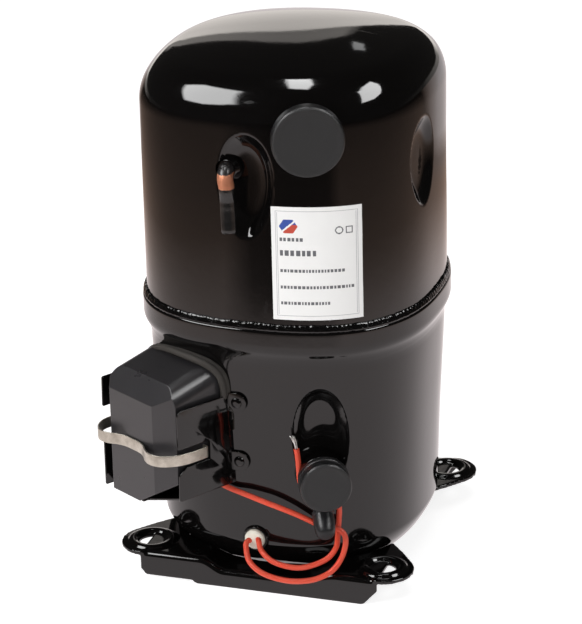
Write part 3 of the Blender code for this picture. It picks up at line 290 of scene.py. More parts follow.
def sweep(name, points, section, mat=None, up=None, caps=True, sharp=32.0, scale=None):
    """Loft a closed section [(a, b) mm] along points (metres). scale(i, n) gives (sa, sb)."""
    n = len(points)
    verts, faces = [], []
    tangent = [(points[min(i + 1, n - 1)] - points[max(i - 1, 0)]).normalized() for i in range(n)]
    side = None
    for i in range(n):
        t = tangent[i]
        if up is not None:
            s = t.cross(Vector(up)).normalized()
        elif side is None:
            ref = Vector((0, 0, 1)) if abs(t.z) < 0.9 else Vector((1, 0, 0))
            s = t.cross(ref).normalized()
        else:
            s = (side - t * side.dot(t)).normalized()
        side = s
        u = s.cross(t).normalized()
        sa, sb = scale(i, n) if scale else (1.0, 1.0)
        for a, b in section:
            verts.append(points[i] + (s * a * sa + u * b * sb) * MM)
    m = len(section)
    for i in range(n - 1):
        for j in range(m):
            k = (j + 1) % m
            faces.append((i * m + j, i * m + k, (i + 1) * m + k, (i + 1) * m + j))
    if caps:
        faces.append(tuple(range(m))[::-1])
        faces.append(tuple((n - 1) * m + j for j in range(m)))
    me = bpy.data.meshes.new(name)
    me.from_pydata([tuple(v) for v in verts], [], faces)
    fix_normals(me)
    return link(name, me, mat, sharp)


def ring(r, n=16, squash=1.0):
    return [(r * math.cos(2 * math.pi * i / n), r * squash * math.sin(2 * math.pi * i / n)) for i in range(n)]


def circle(r, n=48, cx=0.0, cy=0.0, a0=0.0, a1=360.0):
    full = abs(a1 - a0 - 360.0) < 1e-6
    k = n if full else n - 1
    return [(cx + r * math.cos(math.radians(a0 + (a1 - a0) * i / k)),
             cy + r * math.sin(math.radians(a0 + (a1 - a0) * i / k))) for i in range(n)]


def rod(name, r, z0, z1, segs=32, matrix=None):
    return turned(name, [(0, z0), (r, z0), (r, z1), (0, z1)], segs, matrix=matrix)


def boolean(obj, other, op="DIFFERENCE"):
    m = obj.modifiers.new("b", "BOOLEAN")
    m.operation, m.solver, m.object = op, "EXACT", other
    bpy.context.view_layer.update()
    dg = bpy.context.evaluated_depsgraph_get()
    me = bpy.data.meshes.new_from_object(obj.evaluated_get(dg))
    obj.modifiers.clear()
    mats = list(obj.data.materials)
    old = obj.data
    obj.data = me
    me.materials.clear()
    for mt in mats:
        me.materials.append(mt)
    bpy.data.meshes.remove(old)
    bpy.data.objects.remove(other, do_unlink=True)
    return obj


def apply_mods(obj):
    bpy.context.view_layer.update()
    dg = bpy.context.evaluated_depsgraph_get()
    me = bpy.data.meshes.new_from_object(obj.evaluated_get(dg))
    obj.modifiers.clear()
    obj.data = me
    return obj


def soften(obj, width, segs=3, angle=30.0):
    """Round the edges of a piece with a real bevel."""
    m = obj.modifiers.new("bevel", "BEVEL")
    m.width = width * MM
    m.segments = segs
    m.limit_method = "ANGLE"
    m.angle_limit = math.radians(angle)
    m.use_clamp_overlap = True
    m.harden_normals = False
    apply_mods(obj)
    obj.data.shade_smooth()
    obj.data.set_sharp_from_angle(angle=math.radians(40))
    return obj


def merge(name, objs, mat=None, sharp=32.0):
    """Several meshes as one piece."""
    bm = bmesh.new()
    for o in objs:
        tmp = o.data.copy()
        tmp.transform(o.matrix_world)
        bm.from_mesh(tmp)
        bpy.data.meshes.remove(tmp)
        bpy.data.objects.remove(o, do_unlink=True)
    me = bpy.data.meshes.new(name)
    bm.to_mesh(me)
    bm.free()
    return link(name, me, mat, sharp)


def remesh(obj, voxel, smooth=4, factor=0.5):
    m = obj.modifiers.new("r", "REMESH")
    m.mode = "VOXEL"
    m.voxel_size = voxel * MM
    m.adaptivity = 0.0
    if smooth:
        s = obj.modifiers.new("s", "SMOOTH")
        s.factor = factor
        s.iterations = smooth
    mats = list(obj.data.materials)
    apply_mods(obj)
    obj.data.materials.clear()
    for mt in mats:
        obj.data.materials.append(mt)
    obj.data.shade_smooth()
    return obj


def put(obj, body, slot, *nodes):
    """The piece rides on a body and stands for CAD nodes; the slot argument is not used."""
    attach(obj, body)
    if nodes:
        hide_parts(*nodes)
    return obj


# ------------------------------------------------------------------ materials
class Mat:
    """Small builder round a Principled material."""

    def __init__(self, name, colour, rough, metal=0.0, ior=1.5, coat=0.0, coat_rough=0.05):
        self.m = bpy.data.materials.new(name)
        self.m.use_nodes = True
        self.nt = self.m.node_tree
        self.b = self.nt.nodes["Principled BSDF"]
        self.b.inputs["Base Color"].default_value = (*colour, 1.0)
        self.b.inputs["Roughness"].default_value = rough
        self.b.inputs["Metallic"].default_value = metal
        self.b.inputs["IOR"].default_value = ior
        self.b.inputs["Coat Weight"].default_value = coat
        self.b.inputs["Coat Roughness"].default_value = coat_rough
        self.m.diffuse_color = (*colour, 1.0)
        self.coord = self.nt.nodes.new("ShaderNodeTexCoord")
        self.normal = None

    def new(self, kind, **values):
        n = self.nt.nodes.new(kind)
        for k, v in values.items():
            setattr(n, k, v)
        return n

    def plug(self, a, b):
        self.nt.links.new(a, b)

    def noise(self, scale, detail=3.0, rough=0.5, stretch=None, distortion=0.0):
        n = self.new("ShaderNodeTexNoise")
        n.inputs["Scale"].default_value = scale
        n.inputs["Detail"].default_value = detail
        n.inputs["Roughness"].default_value = rough
        n.inputs["Distortion"].default_value = distortion
        src = self.coord.outputs["Object"]
        if stretch:
            mp = self.new("ShaderNodeMapping")
            mp.inputs["Scale"].default_value = stretch
            self.plug(src, mp.inputs["Vector"])
            src = mp.outputs["Vector"]
        self.plug(src, n.inputs["Vector"])
        return n.outputs["Fac"]

    def voronoi(self, scale, feature="F1", out="Distance"):
        n = self.new("ShaderNodeTexVoronoi", feature=feature)
        n.inputs["Scale"].default_value = scale
        self.plug(self.coord.outputs["Object"], n.inputs["Vector"])
        return n.outputs[out]

    def remap(self, src, a, b, c, d, clamp=True):
        n = self.new("ShaderNodeMapRange", clamp=clamp)
        for i, v in zip(("From Min", "From Max", "To Min", "To Max"), (a, b, c, d)):
            n.inputs[i].default_value = v
        self.plug(src, n.inputs["Value"])
        return n.outputs["Result"]

    def math(self, op, a, b=None):
        n = self.new("ShaderNodeMath", operation=op)
        for i, v in enumerate((a, b)):
            if v is None:
                continue
            if isinstance(v, (int, float)):
                n.inputs[i].default_value = v
            else:
                self.plug(v, n.inputs[i])
        return n.outputs[0]

    def mix(self, fac, a, b):
        n = self.new("ShaderNodeMix", data_type="RGBA")
        if isinstance(fac, (int, float)):
            n.inputs[0].default_value = fac
        else:
            self.plug(fac, n.inputs[0])
        for v, i in ((a, 6), (b, 7)):
            if isinstance(v, tuple):
                n.inputs[i].default_value = (*v, 1.0)
            else:
                self.plug(v, n.inputs[i])
        return n.outputs[2]

    def colour(self, src):
        self.plug(src, self.b.inputs["Base Color"])
        return self

    def rough(self, src):
        self.plug(src, self.b.inputs["Roughness"])
        return self

    def metal(self, src):
        self.plug(src, self.b.inputs["Metallic"])
        return self

    def bump(self, src, strength, distance):
        n = self.new("ShaderNodeBump")
        n.inputs["Strength"].default_value = strength
        n.inputs["Distance"].default_value = distance
        self.plug(src, n.inputs["Height"])
        if self.normal is not None:
            self.plug(self.normal, n.inputs["Normal"])
        self.normal = n.outputs["Normal"]
        self.plug(self.normal, self.b.inputs["Normal"])
        return self

    def edge(self, radius=0.0012):
        """1 on sharp edges, 0 on flat faces."""
        bv = self.new("ShaderNodeBevel", samples=6)
        bv.inputs["Radius"].default_value = radius
        g = self.new("ShaderNodeNewGeometry")
        d = self.new("ShaderNodeVectorMath", operation="DOT_PRODUCT")
        self.plug(bv.outputs["Normal"], d.inputs[0])
        self.plug(g.outputs["Normal"], d.inputs[1])
        return self.remap(d.outputs["Value"], 0.995, 0.80, 0.0, 1.0)

    def axis(self, which):
        s = self.new("ShaderNodeSeparateXYZ")
        self.plug(self.coord.outputs["Object"], s.inputs[0])
        return s.outputs[which]


def make_paint(name="paint_black", base=(0.0024, 0.0021, 0.0021), rough=(0.035, 0.085), wave=1.0):
    a = Mat(name, base, 0.05, ior=1.52)
    big = a.noise(9.0, 2.0, 0.5)
    fine = a.noise(420.0, 2.0, 0.5)
    mid = a.noise(70.0, 3.0, 0.55)
    dust = a.remap(a.voronoi(380.0), 0.0, 0.035, 1.0, 0.0)
    rare = a.remap(a.noise(120.0, 1.0), 0.60, 0.66, 0.0, 1.0)
    dust = a.math("MULTIPLY", dust, rare)
    scratch = a.noise(26.0, 4.0, 0.6, stretch=(1.0, 9.0, 0.6), distortion=0.6)
    scratch = a.remap(scratch, 0.693, 0.70, 0.0, 1.0)
    r = a.remap(big, 0.3, 0.75, rough[0], rough[1])
    r = a.math("ADD", r, a.math("MULTIPLY", scratch, 0.10))
    r = a.math("ADD", r, a.math("MULTIPLY", dust, 0.35))
    a.rough(r)
    c = a.mix(big, base, tuple(x * 1.35 for x in base))
    c = a.mix(a.math("MULTIPLY", dust, 0.5), c, (0.09, 0.085, 0.08))
    a.colour(c)
    a.bump(mid, 0.10 * wave, 0.00045)
    a.bump(fine, 0.05 * wave, 0.00006)
    a.bump(dust, 0.12, 0.00005)
    return a.m


def make_weld():
    a = Mat("paint_on_weld", (0.0024, 0.0021, 0.0021), 0.10, ior=1.52)
    a.rough(a.remap(a.noise(160.0, 3.0), 0.3, 0.7, 0.06, 0.24))
    a.bump(a.noise(330.0, 4.0, 0.6), 0.5, 0.0004)
    a.bump(a.voronoi(220.0), 0.3, 0.0004)
    return a.m


def make_rubber(name, front=(0.021, 0.0205, 0.021), side=(0.008, 0.008, 0.0085), axis=None):
    """Moulded vinyl: matt grained face, glossier darker sides (axis is the face's direction)."""
    a = Mat(name, front, 0.7, ior=1.48)
    g = a.new("ShaderNodeNewGeometry")
    d = a.new("ShaderNodeVectorMath", operation="DOT_PRODUCT")
    a.plug(g.outputs["True Normal"], d.inputs[0])
    d.inputs[1].default_value = axis if axis else (0.0, 0.0, 1.0)
    face = a.remap(d.outputs["Value"], 0.55, 0.9, 0.0, 1.0) if axis else a.remap(a.noise(40.0), 0.3, 0.7, 0.2, 0.6)
    grain = a.noise(1400.0, 2.0, 0.6)
    mott = a.noise(90.0, 4.0, 0.6)
    c = a.mix(face, side, front)
    c = a.mix(a.remap(mott, 0.35, 0.75, 0.0, 0.35), c, tuple(x * 1.5 for x in front))
    edge = a.edge(0.0009)
    c = a.mix(a.math("MULTIPLY", edge, 0.30), c, (0.11, 0.11, 0.115))
    a.colour(c)
    r = a.remap(face, 0.0, 1.0, 0.36, 0.66)
    r = a.math("ADD", r, a.remap(mott, 0.3, 0.7, -0.05, 0.08))
    a.rough(r)
    a.bump(grain, 0.25, 0.00006)
    a.bump(mott, 0.12, 0.0003)
    return a.m


def make_plastic(name="cover_plastic", base=(0.027, 0.0255, 0.0275)):
    a = Mat(name, base, 0.38, ior=1.5)
    grain = a.noise(900.0, 3.0, 0.6)
    mott = a.noise(38.0, 4.0, 0.6)
    edge = a.edge(0.0016)
    worn = a.math("MULTIPLY", edge, a.remap(a.noise(150.0, 4.0, 0.65), 0.38, 0.62, 0.15, 0.85))
    c = a.mix(mott, tuple(x * 0.88 for x in base), tuple(x * 1.15 for x in base))
    c = a.mix(worn, c, (0.10, 0.097, 0.098))
    a.colour(c)
    r = a.remap(mott, 0.3, 0.75, 0.27, 0.33)
    scuff = a.remap(a.noise(55.0, 5.0, 0.7, stretch=(1.0, 1.0, 5.0)), 0.60, 0.75, 0.0, 0.16)
    a.rough(a.math("ADD", r, scuff))
    a.bump(grain, 0.22, 0.00005)
    a.bump(mott, 0.10, 0.0006)
    return a.m


def make_metal(name, base, rough, tint=None, brush=None, metal=1.0, stain=0.25, scale=60.0, bump=0.1):
    a = Mat(name, base, rough, metal=metal)
    n1 = a.noise(scale, 4.0, 0.6)
    n2 = a.noise(scale * 9.0, 3.0, 0.6, stretch=brush)
    edge = a.edge(0.0008)
    c = a.mix(a.remap(n1, 0.35, 0.75, 0.0, stain), base, tint or tuple(x * 0.6 for x in base))
    c = a.mix(a.math("MULTIPLY", edge, 0.35), c, tuple(min(1.0, x * 1.35 + 0.04) for x in base))
    a.colour(c)
    r = a.remap(n2, 0.25, 0.75, rough * 0.75, rough * 1.35)
    r = a.math("ADD", r, a.remap(n1, 0.4, 0.8, 0.0, 0.12))
    a.rough(r)
    a.bump(n2, bump, 0.00006)
    return a.m


def make_cast(name, base, rough=0.6, metal=0.85):
    a = Mat(name, base, rough, metal=metal)
    n1 = a.noise(240.0, 5.0, 0.65)
    n2 = a.noise(30.0, 4.0, 0.6)
    a.colour(a.mix(n2, tuple(x * 0.7 for x in base), tuple(x * 1.3 for x in base)))
    a.rough(a.remap(n1, 0.3, 0.7, rough * 0.8, min(1.0, rough * 1.3)))
    a.bump(n1, 0.5, 0.0004)
    return a.m


def make_wrap(name, base, tint, rough, line_scale, axis_stretch, metal=0.6, bump=0.6):
    """Fine parallel lines: laminations or wound wire."""
    a = Mat(name, base, rough, metal=metal)
    w = a.new("ShaderNodeTexWave", wave_type="BANDS", bands_direction="Z")
    w.inputs["Scale"].default_value = line_scale
    w.inputs["Distortion"].default_value = axis_stretch
    w.inputs["Detail"].default_value = 2.0
    a.plug(a.coord.outputs["Object"], w.inputs["Vector"])
    n = a.noise(60.0, 4.0, 0.6)
    c = a.mix(w.outputs["Fac"], base, tint)
    c = a.mix(a.remap(n, 0.4, 0.75, 0.0, 0.4), c, tuple(x * 0.5 for x in base))
    a.colour(c)
    a.rough(a.remap(n, 0.3, 0.7, rough * 0.8, rough * 1.25))
    a.bump(w.outputs["Fac"], bump, 0.00025)
    return a.m


def make_silicone(name="lead_red", base=(0.74, 0.070, 0.034)):
    a = Mat(name, base, 0.40, ior=1.45)
    a.b.inputs["Subsurface Weight"].default_value = 0.08
    a.b.inputs["Subsurface Radius"].default_value = (0.002, 0.0006, 0.0003)
    n = a.noise(90.0, 4.0, 0.6)
    d = a.noise(700.0, 2.0, 0.6)
    c = a.mix(a.remap(n, 0.3, 0.75, 0.0, 0.6), base, (0.68, 0.11, 0.06))
    c = a.mix(a.remap(a.noise(260.0, 5.0, 0.7), 0.66, 0.74, 0.0, 0.35), c, (0.35, 0.05, 0.03))
    a.colour(c)
    a.rough(a.remap(n, 0.3, 0.7, 0.32, 0.52))
    a.bump(d, 0.15, 0.00006)
    return a.m


def make_cream():
    a = Mat("heater_cream", (0.78, 0.74, 0.63), 0.5)
    n = a.noise(120.0, 4.0, 0.6)
    a.colour(a.mix(a.remap(n, 0.45, 0.8, 0.0, 0.6), (0.80, 0.76, 0.66), (0.52, 0.47, 0.38)))
    a.rough(a.remap(n, 0.3, 0.7, 0.42, 0.62))
    a.bump(a.noise(500.0, 3.0), 0.3, 0.00012)
    return a.m


def make_seal():
    a = Mat("seal_grey", (0.050, 0.045, 0.041), 0.72, ior=1.45)
    n = a.noise(110.0, 5.0, 0.65)
    d = a.noise(1100.0, 3.0, 0.6)
    a.colour(a.mix(n, (0.024, 0.0215, 0.019), (0.052, 0.046, 0.041)))
    a.rough(a.remap(n, 0.3, 0.7, 0.6, 0.85))
    a.bump(d, 0.35, 0.00010)
    a.bump(n, 0.3, 0.0004)
    return a.m


def make_film(name, base, rough=0.33):
    a = Mat(name, base, rough, ior=1.5)
    n = a.noise(45.0, 4.0, 0.6)
    f = a.noise(900.0, 2.0, 0.6)
    a.colour(a.mix(a.remap(n, 0.4, 0.8, 0.0, 0.5), base, tuple(x * 0.93 for x in base)))
    a.rough(a.remap(n, 0.3, 0.7, rough * 0.85, rough * 1.2))
    a.bump(f, 0.08, 0.00004)
    a.bump(n, 0.10, 0.0006)
    return a.m


def make_process():
    """Process tube: painted elbow, a bare copper band, a dark painted crimped tail."""
    a = Mat("process_tube_finish", (0.01, 0.01, 0.01), 0.2)
    z = a.axis(2)
    wob = a.math("MULTIPLY", a.math("SUBTRACT", a.noise(260.0, 3.0), 0.5), 0.0022)
    zz = a.math("ADD", z, wob)
    lo = a.remap(zz, 0.3336, 0.3340, 0.0, 1.0)
    hi = a.remap(zz, 0.3442, 0.3446, 1.0, 0.0)
    band = a.math("MULTIPLY", lo, hi)
    n = a.noise(240.0, 4.0, 0.6)
    cop = a.mix(n, (0.60, 0.21, 0.11), (0.76, 0.35, 0.21))
    tail = a.remap(zz, 0.3320, 0.3345, 1.0, 0.0)
    blk = a.mix(tail, (0.020, 0.018, 0.018), (0.010, 0.0095, 0.0095))
    a.colour(a.mix(band, blk, cop))
    a.metal(a.math("MULTIPLY", band, 0.75))
    r = a.math("ADD", a.remap(tail, 0.0, 1.0, 0.27, 0.16), a.math("MULTIPLY", band, 0.25))
    a.rough(a.math("ADD", r, a.remap(n, 0.3, 0.7, -0.04, 0.07)))
    a.bump(a.noise(420.0, 4.0, 0.65), 0.3, 0.0002)
    return a.m


PAINT = make_paint()
PAINT_SHEET = make_paint("paint_black_sheet", rough=(0.05, 0.12), wave=1.4)
WELD = make_weld()
PLASTIC = make_plastic()
PHENOLIC = make_plastic("phenolic_block", (0.05, 0.022, 0.014))
TINNED = make_metal("strap_tinned", (0.60, 0.57, 0.50), 0.30, tint=(0.30, 0.27, 0.22), brush=(1, 1, 14), metal=0.9, stain=0.75, scale=130.0, bump=0.25)
COPPER = make_metal("copper_tube", (0.80, 0.42, 0.28), 0.28, tint=(0.42, 0.20, 0.13), stain=0.5)
STEEL = make_metal("bright_steel", (0.56, 0.56, 0.58), 0.28)
STEEL_DARK = make_metal("dark_steel", (0.30, 0.30, 0.31), 0.4)
STRAND = make_metal("tinned_strand", (0.82, 0.81, 0.79), 0.3, metal=0.9)
SILICONE = make_silicone()
CREAM = make_cream()
SEAL = make_seal()
PROCESS = make_process()
IRON = make_cast("cast_iron", (0.20, 0.20, 0.21), 0.62)
ALLOY = make_metal("machined_alloy", (0.74, 0.75, 0.77), 0.32, scale=30.0)
BRONZE = make_metal("bearing_bronze", (0.62, 0.44, 0.22), 0.34)
LAMINATE = make_wrap("lamination_stack", (0.40, 0.41, 0.44), (0.20, 0.20, 0.22), 0.42, 310.0, 0.4, metal=0.9, bump=0.5)
WINDING = make_wrap("wound_copper", (0.55, 0.22, 0.08), (0.28, 0.09, 0.03), 0.36, 160.0, 2.5, metal=0.55, bump=0.8)


# ------------------------------------------------------------------ shells
UPPER_RECESSES = ((-91.0, 333.5, 22.0, 40.0, 9.5), (-15.0, 335.0, 20.5, 33.5, 7.5))
LOWER_RECESSES = ((-64.5, 127.0, 21.0, 44.0, 7.0),)


def recess_depth(phi, z, r, recesses):
    """Pressed pocket: crisp rim, steep wall, soft bowl; slightly egg shaped."""
    d = 0.0
    for c, zc, w, h, dep in recesses:
        s = math.atan2(math.sin(phi - math.radians(c)), math.cos(phi - math.radians(c))) * r
        v = (z - zc) / h
        q = math.hypot(s / (w * (1.0 + 0.10 * v)), v) / 1.03
        if q < 1.12:
            t = 1.22 * (1.0 - q ** 3.0)
            if t < 0.0:
                t = 0.0
            elif t > 0.6:
                t = 1.0 - 0.4 * math.exp(-(t - 0.6) / 0.4)
            d += dep * t
    return d


def shell_shape(recesses, r_ref, dent=0.0):
    def f(r, phi, z):
        w = min(1.0, (r / r_ref) ** 2) if r < r_ref * 0.97 else 1.0
        rr = r * (1.0 - PLAN * w * math.cos(4.0 * phi))
        if r > r_ref * 0.8:
            rr -= recess_depth(phi, z, r, recesses)
            rr += dent * noise.noise(Vector((math.cos(phi) * 2.2, math.sin(phi) * 2.2, z * 0.014)))
        lift = CROWN_LEAN * rr * math.cos(phi - LEAN_DIR) * smoothstep(336.0, 404.0, z)
        return rr * math.cos(phi), rr * math.sin(phi), z + lift
    return f


def plan_only(r, phi, z):
    k = plan(phi)
    return r * k * math.cos(phi), r * k * math.sin(phi), z


def shell_mesh(name, profile, fine, shape, mat):
    """Turned skin whose columns crowd together over the given angle spans (degrees)."""
    angles, a = [], 0.0
    while a < 359.99:
        angles.append(a)
        w = ((a + 180.0) % 360.0) - 180.0
        a += 0.6 if any(lo <= w <= hi for lo, hi in fine) else 2.0
    angles = [math.radians(x) for x in angles]
    n = len(angles)
    verts, rows = [], []
    for r, z in profile:
        if r < 1e-6:
            rows.append([len(verts)])
            verts.append(Vector((0, 0, z)) * MM)
            continue
        row = []
        for phi in angles:
            row.append(len(verts))
            verts.append(Vector(shape(r, phi, z)) * MM)
        rows.append(row)
    faces = []
    for a, b in zip(rows, rows[1:]):
        for j in range(n):
            k = (j + 1) % n
            if len(a) == 1:
                faces.append((a[0], b[j], b[k]))
            elif len(b) == 1:
                faces.append((a[j], b[0], a[k]))
            else:
                faces.append((a[j], b[j], b[k], a[k]))
    me = bpy.data.meshes.new(name)
    me.from_pydata([tuple(v) for v in verts], [], faces)
    fix_normals(me)
    return link(name, me, mat, 50.0)


def upper_profile(off=0.0, crown=26, corner=22, step=1.8):
    rc, rr, a = R_CORNER - off, R_CROWN - off, R_UP - R_CORNER
    t0 = math.atan2(Z_UP_TOP - (HEIGHT - R_CROWN), a)
    pts = []
    for i in range(crown):
        t = math.pi / 2 + (t0 - math.pi / 2) * i / crown
        pts.append((max(0.0, rr * math.cos(t)), HEIGHT - R_CROWN + rr * math.sin(t)))
    pts[0] = (0.0, HEIGHT - off)
    for i in range(corner + 1):
        t = t0 * (1.0 - i / corner)
        pts.append((a + rc * math.cos(t), Z_UP_TOP + rc * math.sin(t)))
    z = Z_UP_TOP
    while z > 288.0:
        z -= step
        pts.append((R_UP - off, z))
    while z > Z_UP_BOTTOM + 6.0:
        z -= 6.0
        pts.append((R_UP - off, z))
    pts.append((R_UP - off, Z_UP_BOTTOM))
    return pts


def lower_profile(off=0.0, steps=26, step=2.2, top=205.0):
    pts = []
    z = top
    while z > Z_KNEE + 1.0:
        pts.append((low_radius(z) - off, z))
        z -= step if z < 178.0 else 5.0
    for i in range(steps + 1):
        t = math.radians(90.0 * i / steps)
        pts.append((R_LOW_KNEE - KNEE_RX + (KNEE_RX - off) * max(0.0, math.cos(t)) ** KNEE_E,
                    Z_KNEE - (KNEE_RZ - off) * math.sin(t) ** KNEE_E))
    pts.append((40.0, off))
    pts.append((0.0, off))
    return pts


def terminal_frame():
    m = box_front(0.0)
    m.translation = BOX_TV * TERM_T * MM + Vector((0, 0, TERM_Z * MM))
    return m


def low_solid(grow):
    pr = [(0.0, 206.0), (low_radius(205.0) + grow, 206.0)] + lower_profile(-grow, 12, 8.0)
    return turned("trim", pr, 90, shape=shell_shape(((-64.5, 127.0, 21.0, 44.0, 7.0),), 113.0))


up = shell_mesh("shell_upper_skin", upper_profile(0.0) + upper_profile(WALL, 10, 10, 3.6)[::-1],
                ((-109, -72), (-32, 2)), shell_shape(UPPER_RECESSES, R_UP - WALL, 0.35), PAINT)
cut = merge("cutters", [rod("c", 17.9, -30, 40, 64, radial(SUCTION_PHI, 114.0, SUCTION_Z)),
                        rod("c", 8.4, -24, 24, 40, radial(PROCESS_PHI, 112.0, PROCESS_Z))])
boolean(up, cut)
put(up, "shell", "black_paint", "upper_shell")
up.data.shade_smooth()
up.data.set_sharp_from_angle(angle=math.radians(50))

bell = dense(rounded([(R_BELL_IN, Z_RIM), (R_BELL_OUT - 0.8, Z_RIM), (R_BELL_OUT, Z_RIM - 1.2), (R_BELL_OUT, 203.0),
                      (R_BELL_OUT - 3.6, 196.5), (low_radius(190.0), 190.0)], {1: 0.8, 2: 1.0, 3: 4.0, 4: 4.0}, 7), 2.2)
ledge = [(low_radius(205.0) - WALL, Z_STEP), (R_BELL_IN, Z_STEP)]
lo = shell_mesh("shell_lower_skin", lower_profile(WALL, 12, 5.0)[::-1] + ledge + bell[:-1] + lower_profile(0.0, top=190.0),
                ((-85, -44),), shell_shape(LOWER_RECESSES, 108.0, 0.4), PAINT)
cut = merge("cutters", [rod("c", 11.5, -22, 30, 48, radial(DISCHARGE_PHI, 112.0, DISCHARGE_Z)),
                        rod("c", 10.0, -20, 30, 48, radial(HEATER_PHI, 103.6, HEATER_Z)),
                        rod("c", 22.0, 90, 140, 64, terminal_frame())])
boolean(lo, cut)
boolean(lo, rod("c", 6.7, -16, 24, 32, service_frame(108.0)))
put(lo, "shell", "black_paint", "lower_shell")
lo.data.shade_smooth()
lo.data.set_sharp_from_angle(angle=math.radians(50))


def weld_shape(r, phi, z):
    """Bead with uneven ripples, drips and a wandering toe."""
    out = smoothstep(R_UP, R_BELL_OUT, r)
    c, sn = math.cos(phi), math.sin(phi)
    lump = noise.noise(Vector((c * 34.0, sn * 34.0, z * 0.25)))
    fine = noise.noise(Vector((c * 95.0, sn * 95.0, z * 0.6 + 4.0)))
    rip = 0.10 * math.cos(phi * 190.0 + 5.0 * noise.noise(Vector((c * 6.0, sn * 6.0, 2.0))))
    wan = 0.5 * noise.noise(Vector((c * 9.0, sn * 9.0, 0.3)))
    k = plan(phi)
    top = smoothstep(220.6, 224.2, z)
    bulk = 0.55 * lump + 0.35 * fine + rip
    rr = (r + bulk * (0.35 + 0.5 * (1.0 - out))) * k
    return rr * c, rr * sn, z + top * (wan + 0.5 * bulk)


weld = turned("girth_bead", rounded([(R_UP - 0.3, 219.7), (R_UP - 0.3, 224.9), (R_UP + 0.5, 225.1), (R_UP + 1.6, 224.3),
                                     (R_BELL_OUT - 0.9, 222.4), (R_BELL_OUT - 0.2, 220.9), (R_BELL_OUT - 0.7, 219.7)],
                                    {2: 0.5, 3: 1.0, 4: 1.4, 5: 1.0}, 3),
              1400, WELD, shape=weld_shape, closed=True, sharp=60.0)
put(weld, "shell", "black_paint", "girth_weld")


# ------------------------------------------------------------------ stubs, plugs and caps
def out_axis(m):
    v = m.to_3x3() @ Vector((0, 0, 1))
    return (v.x, v.y, v.z)


m = radial(SUCTION_PHI, 118.0, SUCTION_Z)
o = turned("suction_spigot", rounded([(14.3, 8.9), (17.4, 8.9), (17.4, -14), (9.7, -14), (9.7, -7), (14.3, -7)], 0.6, 3), 64, COPPER,
           matrix=m, closed=True)
put(o, "shell", "tube_copper", "suction_stub")
RUB_S = make_rubber("rubber_suction", axis=out_axis(m))
o = turned("suction_cap_skin", rounded([(0, 14.2), (21.0, 14.2), (23.6, 14.5), (25.9, 14.5), (27.5, 12.6), (27.5, 4.4), (26.2, 3.0),
                                        (18.2, 3.0), (18.2, 10.2), (13.8, 10.2), (13.8, 2.0), (12.0, 0.5), (0, 0.5)],
                                       {1: 2.0, 2: 1.2, 3: 0.8, 4: 1.2, 5: 1.2, 6: 1.0, 7: 0.5}, 5), 128, RUB_S, matrix=m)
put(o, "suction_cap", "plug_rubber", "suction_plug")

m = radial(DISCHARGE_PHI, 112.0, DISCHARGE_Z)
o = turned("discharge_spigot", rounded([(9.4, 24), (11.0, 24), (11.0, 13.6), (17.6, 13.4), (18.9, 12.4), (19.0, 0.5), (19.9, -3.0), (21.4, -6.4),
                                        (11.3, -6.4), (11.0, -9), (9.4, -9)], {2: 0.3, 3: 0.8, 4: 1.0, 5: 2.0, 6: 2.0}, 5), 72, PAINT,
           matrix=m, closed=True)
put(o, "shell", "black_paint", "discharge_stub")
RUB_D = make_rubber("rubber_discharge", axis=out_axis(m))
o = turned("discharge_cap_skin", rounded([(0, 30.8), (15.2, 30.8), (17.0, 31.1), (18.6, 31.0), (20.0, 29.5), (20.0, 21.6), (19.1, 20.7),
                                          (20.0, 19.8), (20.0, 15.0), (18.9, 14.0), (11.7, 14.0), (11.7, 25.0), (8.9, 25.0), (8.9, 18.0),
                                          (7.5, 16.5), (0, 16.5)],
                                         {1: 1.5, 2: 0.8, 3: 0.7, 4: 1.2, 5: 0.4, 6: 0.5, 7: 0.4, 8: 1.0, 9: 0.8}, 5), 112, RUB_D, matrix=m)
put(o, "discharge_cap", "plug_rubber", "discharge_plug")

m = service_frame(113.0)
o = turned("service_spigot", rounded([(4.8, 20), (6.2, 20), (6.2, 5.0), (8.4, 1.0), (9.6, -4.0), (6.6, -4.0), (6.3, -6), (4.8, -6)],
                                     {2: 1.0, 3: 1.5}, 4), 48, PAINT, matrix=m, closed=True)
put(o, "shell", "steel", "service_stub")
RUB_V = make_rubber("rubber_service", front=(0.012, 0.012, 0.013), side=(0.010, 0.010, 0.011), axis=out_axis(m))
o = turned("service_cap_skin", rounded([(0, 31.2), (4.2, 30.9), (7.0, 28.4), (8.1, 24.0), (8.3, 19.0), (8.3, 12.4), (8.0, 12.0), (8.5, 11.4),
                                        (8.5, 9.0), (6.9, 9.0), (6.9, 22.0), (4.3, 22.0), (4.3, 15.0), (0, 15.0)],
                                       {1: 1.6, 2: 2.6, 3: 2.0, 6: 0.2, 7: 0.3, 8: 0.3}, 6), 64, RUB_V, matrix=m)
put(o, "service_cap", "plug_rubber", "service_cap")

